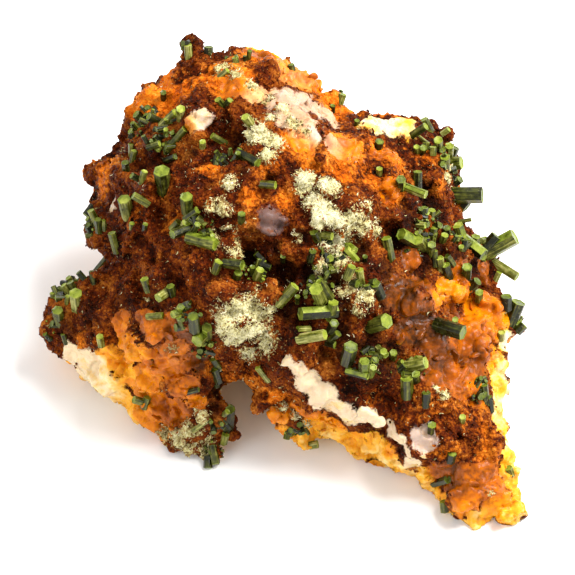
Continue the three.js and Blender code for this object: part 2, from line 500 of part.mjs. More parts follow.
// Every prism of PRISMS on this rock, with its two ends in space.
function prismsOn(rockMesh) {
  const list = [];
  for (const [place, rows] of Object.entries(PRISMS)) {
    for (const [u0, v0, u1, v1, thick, rise] of rows) {
      const rootDepth = surfaceDepth(rockMesh, u0, v0);
      const tipDepth = Math.max(rootDepth + rise, surfaceDepth(rockMesh, u1, v1) + TIP_CLEARANCE * thick);
      const foot = placeOnPlane(u0, v0, rootDepth);
      const tip = placeOnPlane(u1, v1, tipDepth);
      const axis = tip.clone().sub(foot).normalize();
      const root = foot.addScaledVector(axis, -ROOT_DEPTH).addScaledVector(TOWARDS, -SIDE_SINK * thick);
      const crystal = { place, root, tip, radius: thick / 2, roll: list.length * ROLL_STEP };
      list.push({ ...crystal, solid: prism(crystal, 0) });
    }
  }
  return list;
}

// Crystals that grow into each other, as lists, the largest cluster first.
function touchingClusters(crystals) {
  const clusterOf = crystals.map((_, i) => i);
  crystals.forEach((a, i) => {
    crystals.slice(0, i).forEach((b, j) => {
      const reach = a.tip.distanceTo(a.root) + b.tip.distanceTo(b.root);
      if (clusterOf[i] === clusterOf[j] || a.tip.distanceTo(b.tip) > reach) return;
      if (a.solid.intersect(b.solid).volume() < TOUCH_VOLUME) return;
      const [from, to] = [clusterOf[i], clusterOf[j]];
      clusterOf.forEach((cluster, k) => {
        if (cluster === from) clusterOf[k] = to;
      });
    });
  });
  const clusters = [...new Set(clusterOf)].map((id) => crystals.filter((_, k) => clusterOf[k] === id));
  const size = (cluster) => cluster.reduce((sum, crystal) => sum + crystal.solid.volume(), 0);
  return clusters.sort((a, b) => size(b) - size(a));
}

function joined(solids) {
  return solids.reduce((sum, solid) => sum.add(solid));
}

function namedMesh(name, solid, material) {
  const mesh = new THREE.Mesh(geometryFrom(solid), material);
  mesh.name = name;
  return mesh;
}

const rough = roughRock();
const roughTarget = rayTarget(rough);
const blocks = QUARTZ_BLOCKS.map((row) => quartzBlock(row, surfaceDepth(roughTarget, row[0], row[1])));
const rock = joined([rough, ...blocks]).intersect(spaceAboveFloor());

const crystals = prismsOn(rayTarget(rock));
const clusters = touchingClusters(crystals);
const ownPieces = clusters.slice(0, CLUSTER_NODES);
const grownIn = clusters.slice(CLUSTER_NODES).flat();

let matrix = rock;
for (const crystal of ownPieces.flat()) matrix = matrix.subtract(prism(crystal, SOCKET_GAP));
for (const crystal of grownIn) matrix = matrix.add(crystal.solid);

const specimen = new THREE.Group();
specimen.add(namedMesh(
  "matrix", largestBody(matrix.intersect(spaceAboveFloor())),
  new THREE.MeshStandardMaterial({ color: ROCK_COLOUR, roughness: 0.85, metalness: 0 })));
const numbers = {};
for (const cluster of ownPieces) {
  const place = cluster[0].place;
  numbers[place] = (numbers[place] ?? 0) + 1;
  const kind = cluster.length > 1 ? "cluster" : "prism";
  specimen.add(namedMesh(
    `${place}_${kind}_${numbers[place]}`, joined(cluster.map((crystal) => crystal.solid)),
    new THREE.MeshStandardMaterial({ color: CRYSTAL_COLOUR, roughness: 0.35, metalness: 0 })));
}

// The rock is as wide as WIDTH says, and the origin is the middle of the box's underside.
const drawn = OUTLINE.map((corner) => corner[0]);
specimen.scale.setScalar(WIDTH / (Math.max(...drawn) - Math.min(...drawn)));
specimen.updateMatrixWorld(true);
const outer = new THREE.Box3().setFromObject(specimen);
const centre = outer.getCenter(new THREE.Vector3());
specimen.position.set(-centre.x, -centre.y, -outer.min.z);

export default specimen;
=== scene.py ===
"""Dresses a pyromorphite specimen: green six-sided prisms on rusty rock veined with quartz."""

import itertools
import math
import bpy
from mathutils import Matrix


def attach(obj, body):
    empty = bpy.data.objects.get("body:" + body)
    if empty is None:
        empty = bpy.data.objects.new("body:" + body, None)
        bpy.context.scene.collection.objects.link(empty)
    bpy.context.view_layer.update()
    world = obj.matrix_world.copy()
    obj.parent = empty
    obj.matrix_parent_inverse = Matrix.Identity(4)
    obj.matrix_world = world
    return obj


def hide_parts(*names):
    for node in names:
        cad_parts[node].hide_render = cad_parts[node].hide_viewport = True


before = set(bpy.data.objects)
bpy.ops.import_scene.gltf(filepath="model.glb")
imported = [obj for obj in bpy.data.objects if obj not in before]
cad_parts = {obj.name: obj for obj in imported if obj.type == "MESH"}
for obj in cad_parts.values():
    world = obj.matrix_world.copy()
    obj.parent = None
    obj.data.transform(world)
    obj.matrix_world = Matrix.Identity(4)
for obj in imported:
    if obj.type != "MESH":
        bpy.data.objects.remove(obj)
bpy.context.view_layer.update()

from types import SimpleNamespace

import bmesh
import bpy
import numpy as np
from bpy.props import FloatProperty, FloatVectorProperty, IntProperty, PointerProperty
from mathutils import Matrix, Vector
from mathutils.bvhtree import BVHTree

bl_info = {
    "name": "Pyromorphite specimen",
    "version": (1, 0, 0),
    "blender": (4, 5, 0),
    "location": "3D View > Sidebar > Specimen",
    "description": "Rock, quartz, powdery crust and green prisms of a pyromorphite specimen",
    "category": "Add Mesh",
}

MM = 0.001
BODY = "root"

# The drawing plane in which places are read: across, up and towards the viewer, who looks down at
# VIEW_ANGLE. Places in it are in millimetres, and DRAWING_ORIGIN is where it starts in the frame.
# The picture shows PICTURE_SIZE of it, across and up.
VIEW_ANGLE = math.radians(50)
ACROSS = Vector((1, 0, 0))
UP = Vector((0, math.sin(VIEW_ANGLE), math.cos(VIEW_ANGLE)))
TOWARDS = Vector((0, -math.cos(VIEW_ANGLE), math.sin(VIEW_ANGLE)))
DRAWING_ORIGIN = Vector((-28.3, -28.38, 0))
PICTURE_SIZE = 57.5

# Powdery crust: (across, up, radius, paleness).
CRUST_SPOTS = (
    (23.6, 26.6, 2.0, 0.8), (26.0, 26.6, 2.1, 0.7), (24.4, 24.3, 2.5, 0.95), (26.6, 24.0, 1.9, 0.7),
    (22.9, 24.6, 1.5, 0.8), (25.2, 22.6, 1.4, 0.8), (27.3, 26.8, 1.0, 0.6), (21.9, 36.2, 1.8, 0.3),
    (22.6, 34.4, 1.7, 0.35), (23.6, 32.6, 1.7, 0.3), (21.8, 33.4, 1.3, 0.3), (23.1, 38.7, 0.9, 0.8),
    (26.0, 43.8, 1.5, 0.7), (27.4, 42.8, 1.4, 0.7), (26.8, 41.6, 1.1, 0.6), (25.4, 44.9, 1.0, 0.5),
    (30.5, 39.2, 1.2, 1.0), (32.9, 38.6, 1.3, 0.9), (31.2, 37.2, 1.1, 1.0), (32.2, 36.2, 1.3, 1.0),
    (33.2, 35.2, 1.3, 1.0), (32.6, 33.4, 1.2, 0.9), (33.8, 33.4, 1.2, 0.9), (35.5, 35.0, 2.0, 0.55),
    (37.2, 34.4, 1.3, 0.5), (33.8, 31.4, 1.6, 0.7), (32.0, 30.6, 1.4, 0.6), (34.5, 29.0, 1.6, 0.5),
    (36.4, 27.9, 1.4, 0.5), (35.6, 26.6, 1.0, 0.4), (44.6, 39.9, 0.9, 0.7), (45.0, 41.0, 0.6, 0.7),
    (17.5, 22.9, 0.6, 0.6), (16.6, 14.0, 1.2, 0.5), (18.0, 13.6, 1.4, 0.6), (19.2, 14.6, 1.7, 0.3),
    (20.8, 14.0, 1.4, 0.3), (19.0, 12.8, 1.0, 0.6), (20.6, 12.2, 1.0, 0.6), (21.4, 11.6, 0.7, 0.7),
    (20.2, 16.2, 1.2, 0.25), (28.2, 17.0, 0.7, 0.6), (29.4, 16.2, 0.7, 0.6), (30.4, 15.3, 0.6, 0.5),
    (28.0, 19.0, 0.4, 0.6), (15.1, 27.5, 0.4, 0.6), (44.0, 18.2, 0.7, 0.5), (43.2, 18.9, 0.4, 0.6),
    (48.5, 8.4, 0.5, 0.5), (22.3, 50.6, 0.9, 0.45), (23.7, 49.8, 0.9, 0.45), (25.2, 48.6, 0.9, 0.6),
    (26.8, 47.4, 1.1, 0.5), (28.2, 46.2, 1.0, 0.6), (29.4, 44.9, 1.0, 0.5), (27.0, 45.4, 0.9, 0.7),
    (30.6, 43.8, 0.8, 0.4), (36.6, 36.6, 0.9, 0.5), (31.8, 35.0, 1.0, 0.9), (29.6, 33.8, 0.8, 0.4),
)
# Vein quartz: (across, up, radius, iron stain, haze).
QUARTZ_SPOTS = (
    (6.9, 21.4, 0.9, 0.05, 0), (8.0, 20.0, 0.9, 0.02, 0), (9.2, 19.2, 0.9, 0.05, 0),
    (10.6, 18.2, 0.8, 0.15, 0), (7.2, 22.2, 1.2, 0.05, 0), (8.8, 21.4, 1.7, 0, 0),
    (10.0, 20.2, 1.5, 0.08, 0), (11.2, 19.0, 1.2, 0.2, 0), (12.4, 17.9, 1.0, 0.3, 0),
    (13.4, 17.0, 0.9, 0.4, 0), (14.3, 16.2, 0.8, 0.5, 0), (11.2, 21.9, 1.6, 0.4, 0),
    (12.6, 20.2, 1.8, 0.42, 0), (13.9, 22.6, 1.8, 0.5, 0), (16.6, 21.4, 2.3, 0.66, 0),
    (14.8, 20.0, 1.8, 0.5, 0), (14.6, 17.8, 1.8, 0.52, 0), (17.2, 16.6, 2.0, 0.75, 0),
    (15.6, 15.6, 1.2, 0.7, 0), (19.6, 17.4, 1.2, 0.62, 0), (18.6, 19.2, 1.6, 0.7, 0),
    (19.6, 21.6, 1.4, 0.9, 0), (12.6, 24.0, 1.4, 0.56, 0), (15.6, 24.2, 1.2, 0.6, 0),
    (28.6, 21.4, 0.9, 0.05, 0.3), (29.6, 20.6, 1.1, 0, 0.2), (30.8, 19.4, 1.4, 0, 0.2),
    (32.2, 18.0, 1.6, 0.03, 0.25), (33.6, 16.9, 1.7, 0.08, 0.3), (35.0, 16.2, 1.6, 0.05, 0.25),
    (36.6, 15.9, 1.2, 0, 0.2), (38.0, 15.3, 1.0, 0, 0.2), (39.2, 14.0, 0.9, 0, 0.2),
    (40.2, 12.6, 0.8, 0.02, 0.2), (41.0, 11.3, 0.7, 0.08, 0.2), (41.9, 12.0, 0.6, 0.1, 0.2),
    # The underside's amber quartz, across 28 to 41 and up 10 to 17, has lighter stains partly as painted
    # light: it stays golden as though lit through from below.
    (27.8, 15.8, 1.2, 0.6, 0), (28.8, 14.2, 1.4, 0.42, 0), (30.6, 13.6, 1.6, 0.36, 0),
    (29.8, 16.6, 1.2, 0.62, 0), (31.6, 15.4, 1.3, 0.38, 0), (33.6, 13.9, 1.7, 0.3, 0),
    (35.6, 12.9, 1.8, 0.28, 0), (37.6, 12.6, 1.8, 0.28, 0), (39.2, 11.4, 1.6, 0.26, 0),
    (40.8, 10.2, 1.4, 0.28, 0), (31.5, 16.2, 1.2, 0.6, 0), (33.5, 14.9, 1.2, 0.5, 0),
    (35.5, 14.0, 1.2, 0.46, 0), (37.4, 13.6, 1.2, 0.44, 0), (38.9, 12.4, 1.0, 0.5, 0),
    (42.2, 13.8, 1.4, 0.05, 1), (38.8, 45.2, 1.7, 0.1, 0), (37.2, 45.2, 1.4, 0.2, 0),
    (40.6, 45.0, 1.6, 0.22, 0), (34.8, 42.4, 1.7, 0.62, 0), (33.4, 42.9, 1.3, 0.4, 0.8),
    (38.6, 42.3, 1.6, 0.68, 0), (39.0, 38.4, 1.2, 0.7, 0), (30.2, 42.9, 1.5, 0.6, 0),
    (29.6, 50.2, 2.2, 0.5, 0.2), (26.2, 52.3, 1.4, 0.8, 0), (23.5, 48.8, 1.5, 0.66, 0),
    (26.0, 47.6, 1.6, 0.36, 0.6), (28.4, 47.6, 2.1, 0.22, 1), (30.8, 47.0, 2.1, 0.22, 1),
    (29.6, 45.4, 1.9, 0.26, 0.9), (32.6, 46.0, 1.5, 0.3, 0.9), (31.0, 43.6, 1.2, 0.1, 1),
    (20.2, 45.4, 1.2, 0.1, 0.7), (19.2, 44.8, 0.7, 0.6, 0), (27.3, 35.0, 1.4, 1.1, 0.35),
    (11.2, 37.0, 0.8, 0.1, 0.7), (39.6, 28.0, 1.8, 0.95, 0), (41.4, 26.2, 1.8, 0.9, 0),
    (40.6, 24.2, 1.4, 0.9, 0), (43.4, 27.6, 1.2, 0.6, 0), (44.8, 28.6, 1.5, 0.45, 0),
    (46.6, 28.2, 1.5, 0.55, 0), (45.0, 26.2, 1.5, 0.85, 0), (48.4, 26.4, 2.0, 0.62, 0),
    (49.6, 24.8, 1.6, 0.62, 0), (50.8, 23.4, 1.2, 0.08, 0), (50.6, 25.6, 1.0, 0.5, 0),
    (44.0, 22.2, 2.0, 0.92, 0), (46.8, 22.0, 2.4, 0.82, 0), (49.0, 21.2, 1.8, 0.6, 0),
    (49.8, 19.0, 1.4, 0.5, 0), (50.2, 16.6, 1.0, 0.4, 0), (50.4, 14.0, 1.0, 0.42, 0),
    (50.6, 12.0, 1.0, 0.45, 0), (48.7, 30.8, 1.6, 0.8, 0), (40.6, 31.4, 1.3, 0.85, 0),
    (44.6, 10.4, 1.8, 0.82, 0), (46.6, 9.2, 2.0, 0.8, 0), (48.6, 9.6, 2.0, 0.75, 0),
    (49.4, 7.4, 1.7, 0.55, 0), (50.6, 6.4, 1.5, 0.42, 0), (46.4, 7.2, 1.6, 0.7, 0),
    (47.4, 5.8, 1.2, 0.2, 0),
)
# Vein quartz at the specimen's edges and where it fills broad areas, as above.
# Along the right edge, across 48 to 52 and up 5 to 21, the light stains are partly painted light: the glow
# of light through the thin rim.
# In the broad right-hand area, across 42 to 48 and up 18 to 30, the heavy stains are partly painted shade,
# darker as though in shadow.
EDGE_QUARTZ_SPOTS = (
    (8.2, 19.5, 1.7, 0.05, 0), (9.4, 18.9, 1.8, 0.05, 0), (10.0, 18.0, 1.5, 0.1, 0),
    (11.0, 17.8, 1.8, 0.15, 0), (12.8, 16.7, 1.8, 0.35, 0), (14.4, 15.6, 1.7, 0.5, 0),
    (15.8, 14.6, 1.4, 0.6, 0), (12.5, 25.2, 1.3, 0.72, 0), (14.5, 25.6, 1.2, 0.76, 0),
    (17.0, 25.0, 1.4, 0.8, 0), (19.4, 24.0, 1.2, 0.9, 0), (17.8, 23.0, 1.3, 0.7, 0),
    (39.0, 14.6, 1.0, 0, 0.2), (39.8, 13.4, 1.0, 0, 0.2), (40.5, 12.4, 0.9, 0.02, 0.2),
    (41.0, 11.5, 0.9, 0.05, 0.2), (42.0, 9.8, 1.2, 0.25, 0), (43.2, 8.6, 1.2, 0.3, 0),
    (44.6, 7.4, 1.1, 0.3, 0), (45.8, 6.6, 1.0, 0.35, 0), (50.4, 20.6, 1.7, 0.2, 0),
    (50.2, 19.2, 1.8, 0.12, 0), (50.1, 17.6, 1.7, 0.15, 0), (49.9, 15.8, 1.6, 0.2, 0),
    (50.2, 14.2, 1.5, 0.2, 0), (50.5, 12.4, 1.3, 0.25, 0), (50.8, 10.8, 1.3, 0.28, 0),
    (51.0, 9.2, 1.3, 0.35, 0), (51.6, 7.6, 1.3, 0.4, 0), (51.6, 6.4, 1.3, 0.4, 0),
    (50.8, 5.6, 1.3, 0.35, 0), (49.8, 6.0, 1.2, 0.38, 0), (48.6, 6.2, 1.2, 0.4, 0),
    (28.2, 51.4, 1.4, 0.62, 0), (30.4, 50.2, 1.4, 0.6, 0), (31.6, 49.2, 1.2, 0.66, 0),
    (25.4, 52.8, 1.3, 0.8, 0), (27.0, 52.6, 1.2, 0.7, 0), (42.5, 24.5, 2.0, 0.92, 0),
    (45.5, 24.0, 2.0, 0.8, 0), (47.5, 24.5, 2.0, 0.72, 0), (43.5, 20.5, 1.8, 0.84, 0),
    (45.5, 19.5, 2.0, 0.78, 0), (47.5, 18.5, 1.8, 0.68, 0), (42.0, 29.0, 1.6, 0.9, 0),
    (46.0, 30.0, 1.5, 0.8, 0),
)
# Ochre on the gossan: (across, up, radius, strength).
RUST_SPOTS = (
    (15.0, 47.4, 2.6, 1.0), (18.5, 48.6, 2.6, 0.65), (21.5, 49.6, 2.6, 0.8), (24.0, 49.5, 2.2, 1.0),
    (26.4, 52.2, 2.6, 0.95), (30.0, 50.0, 2.8, 0.9), (33.0, 46.5, 2.2, 0.85), (29.5, 43.0, 2.2, 0.95),
    (34.5, 42.5, 2.6, 1.0), (38.5, 42.3, 2.6, 1.0), (42.5, 42.0, 1.8, 0.6), (37.0, 39.2, 2.2, 0.65),
    (39.2, 38.2, 2.0, 1.0), (34.0, 39.8, 1.8, 0.8), (31.0, 40.8, 1.6, 0.7), (27.0, 40.5, 1.6, 0.6),
    (21.2, 40.6, 1.6, 0.8), (25.0, 37.6, 1.4, 0.75), (28.4, 37.0, 1.6, 0.7), (10.2, 39.9, 2.8, 0.8),
    (12.9, 44.3, 1.4, 0.6), (13.6, 36.0, 1.8, 0.4), (17.6, 35.0, 2.0, 0.35), (20.5, 33.0, 1.6, 0.3),
    (43.9, 38.8, 1.2, 0.8), (44.5, 41.5, 1.2, 0.7), (40.6, 31.5, 1.6, 0.35), (48.7, 30.8, 1.8, 0.45),
    (8.0, 23.4, 1.0, 0.7), (10.4, 23.2, 1.4, 0.6), (12.8, 24.8, 1.6, 0.6), (16.4, 23.8, 1.6, 0.5),
    (21.0, 21.0, 2.0, 0.5), (23.0, 19.8, 1.4, 0.6), (25.5, 19.8, 1.8, 0.5), (27.8, 18.0, 1.6, 0.8),
    # The weaker ochre in the lower right, across 37 to 49 and up 12 to 20, is partly painted shade: that
    # side stays darker as though in shadow.
    (37.5, 17.5, 2.0, 0.25), (40.0, 16.0, 2.0, 0.3), (42.5, 17.0, 2.2, 0.3), (45.5, 16.5, 2.4, 0.35),
    (48.0, 15.0, 2.2, 0.5), (44.5, 12.5, 2.0, 0.5), (48.5, 12.0, 2.0, 0.7), (46.0, 19.0, 2.0, 0.6),
    (42.0, 20.0, 2.0, 0.2), (45.0, 34.0, 1.6, 0.25), (31.8, 48.6, 1.6, 1.0), (33.2, 47.4, 1.5, 0.9),
    (34.6, 46.6, 1.3, 0.9), (36.2, 46.2, 1.2, 0.9), (40.2, 46.2, 1.2, 0.6), (14.4, 48.4, 2.2, 1.3),
    (16.5, 49.2, 2.2, 1.3), (17.5, 47.8, 2.0, 1.3), (13.6, 46.6, 1.6, 1.3), (28.0, 51.6, 1.6, 1.2),
    (30.6, 50.2, 1.6, 1.2),
)
# Hollows and darkened places, and one knob: (across, up, radius, darkness, depth in mm).
# The darkness is painted shade: near black in the hollows and in the shaded places round the crust and the
# crystals.
DARK_SPOTS = (
    (23.3, 43.0, 1.3, 1.0, 1.6), (25.0, 31.6, 1.1, 1.0, 1.6), (28.6, 30.6, 1.9, 0.9, 1.0),
    (26.6, 30.0, 1.6, 0.8, 0.6), (43.3, 37.2, 2.5, 1.0, 1.6), (41.6, 35.4, 1.8, 0.9, 1.0),
    (45.3, 26.0, 1.2, 0.7, 1.2), (27.2, 39.2, 0.8, 0.6, 0.8), (28.6, 26.6, 1.7, 0.9, 1.0),
    (36.6, 24.6, 1.7, 0.9, 0.8), (34.2, 24.2, 1.4, 0.9, 0.5), (38.6, 22.6, 1.6, 0.8, 0.4),
    (33.6, 26.6, 1.5, 0.9, 0.6), (19.0, 32.4, 0.9, 0.6, 0.6), (12.8, 31.4, 1.0, 0.4, 0.4),
    (22.0, 18.6, 1.5, 0.9, 0.6), (21.4, 16.8, 1.2, 0.8, 0.2), (14.0, 33.2, 1.0, 0.5, 0.6),
    (17.4, 29.2, 1.0, 0.5, 0.4), (40.2, 33.4, 1.8, 0.8, 0.5), (42.8, 31.6, 1.9, 0.9, 0.5),
    (45.4, 32.2, 1.8, 0.8, 0.3), (38.4, 30.4, 1.6, 0.8, 0.4), (30.6, 26.4, 1.5, 0.8, 0.4),
    (35.2, 21.4, 1.4, 0.5, 0.0), (25.6, 34.0, 1.2, 0.5, 0.4), (30.0, 33.6, 1.2, 0.6, 0.4),
    (16.8, 41.2, 1.6, 0.5, 0.4), (14.6, 40.8, 1.4, 0.4, 0.3), (20.8, 39.0, 1.0, 0.4, 0.4),
    (21.4, 29.4, 1.4, 0.5, 0.4), (22.4, 27.2, 1.0, 0.5, 0.2), (20.2, 24.4, 1.2, 0.4, 0.2),
    (34.4, 35.8, 0.8, 0.8, 0.6), (33.0, 32.2, 0.8, 0.8, 0.5), (31.6, 38.2, 0.6, 0.7, 0.5),
    (35.6, 31.8, 1.6, 1.0, 0.8), (33.2, 29.6, 1.5, 1.0, 0.8), (30.8, 30.2, 1.5, 1.0, 0.8),
    (41.6, 29.8, 1.2, 0.8, 0.4), (38.4, 27.4, 1.4, 0.8, 0.6), (38.2, 25.2, 1.2, 0.7, 0.4),
    (46.6, 35.8, 1.2, 0.8, 0.3), (43.8, 33.0, 1.4, 0.9, 0.5), (47.4, 31.4, 1.2, 0.8, 0.3),
    (18.9, 53.2, 1.3, 0.4, -1.2), (34.0, 22.0, 1.2, 0.9, 0.0), (36.0, 22.8, 1.2, 0.9, 0.2),
    (38.6, 21.0, 1.4, 0.8, 0.0), (39.6, 22.8, 1.2, 0.9, 0.2), (22.0, 29.6, 1.2, 0.7, 0.3),
    (24.6, 28.6, 1.0, 0.7, 0.3), (29.8, 28.4, 1.2, 0.8, 0.4), (27.6, 32.6, 1.2, 0.7, 0.3),
    (6.4, 24.4, 1.6, 0.65, 0.0), (8.6, 26.4, 1.8, 0.55, 0.0), (12.4, 27.0, 2.0, 0.5, 0.0),
    (16.0, 27.4, 2.0, 0.5, 0.0), (42.2, 38.4, 1.4, 0.9, 1.0), (44.2, 36.0, 2.0, 1.0, 1.2),
    (45.6, 37.6, 1.0, 0.8, 0.3), (37.0, 20.2, 1.4, 0.8, 0.0), (34.8, 23.2, 1.4, 0.9, 0.2),
    (47.0, 27.4, 1.0, 0.8, 0.5), (29.4, 25.2, 1.2, 0.7, 0.3), (32.0, 22.2, 1.2, 0.6, 0.2),
    (24.4, 40.2, 1.0, 0.7, 0.4), (19.4, 41.8, 0.9, 0.7, 0.4), (40.4, 36.6, 1.2, 0.7, 0.4),
)
# Where small crystals crowd together: (across, up, radius, crowding).
GREEN_SPOTS = (
    (44.0, 42.6, 1.8, 1.0), (45.3, 40.4, 1.2, 1.0), (43.0, 35.0, 2.0, 0.5), (45.8, 33.6, 2.0, 0.7),
    (41.4, 33.4, 1.8, 0.5), (32.6, 31.6, 2.0, 0.7), (31.6, 28.4, 2.0, 0.7), (36.0, 29.6, 1.6, 0.6),
    (48.6, 32.6, 1.6, 0.9), (50.8, 28.2, 1.4, 0.7), (52.0, 26.0, 1.2, 0.7), (9.4, 35.2, 1.4, 0.9),
    (6.6, 28.0, 1.6, 0.8), (5.2, 25.0, 1.4, 0.6), (14.6, 45.2, 2.0, 0.7), (16.6, 43.4, 2.0, 0.6),
    (22.6, 41.4, 1.4, 0.5), (20.4, 34.4, 1.6, 0.6), (18.6, 26.2, 1.6, 0.5), (20.6, 23.0, 1.6, 0.6),
    (22.2, 15.4, 1.4, 0.7), (21.4, 12.4, 1.2, 0.7), (18.8, 52.6, 0.9, 0.3), (36.6, 21.8, 1.8, 0.6),
    (40.6, 20.4, 1.8, 0.5), (25.4, 30.4, 1.6, 0.5), (47.8, 18.6, 1.6, 0.4), (42.6, 6.9, 1.4, 0.4),
    (34.0, 47.8, 1.0, 0.4), (23.6, 51.4, 1.2, 0.3), (9.2, 31.4, 1.0, 0.6), (29.6, 14.6, 1.2, 0.3),
)
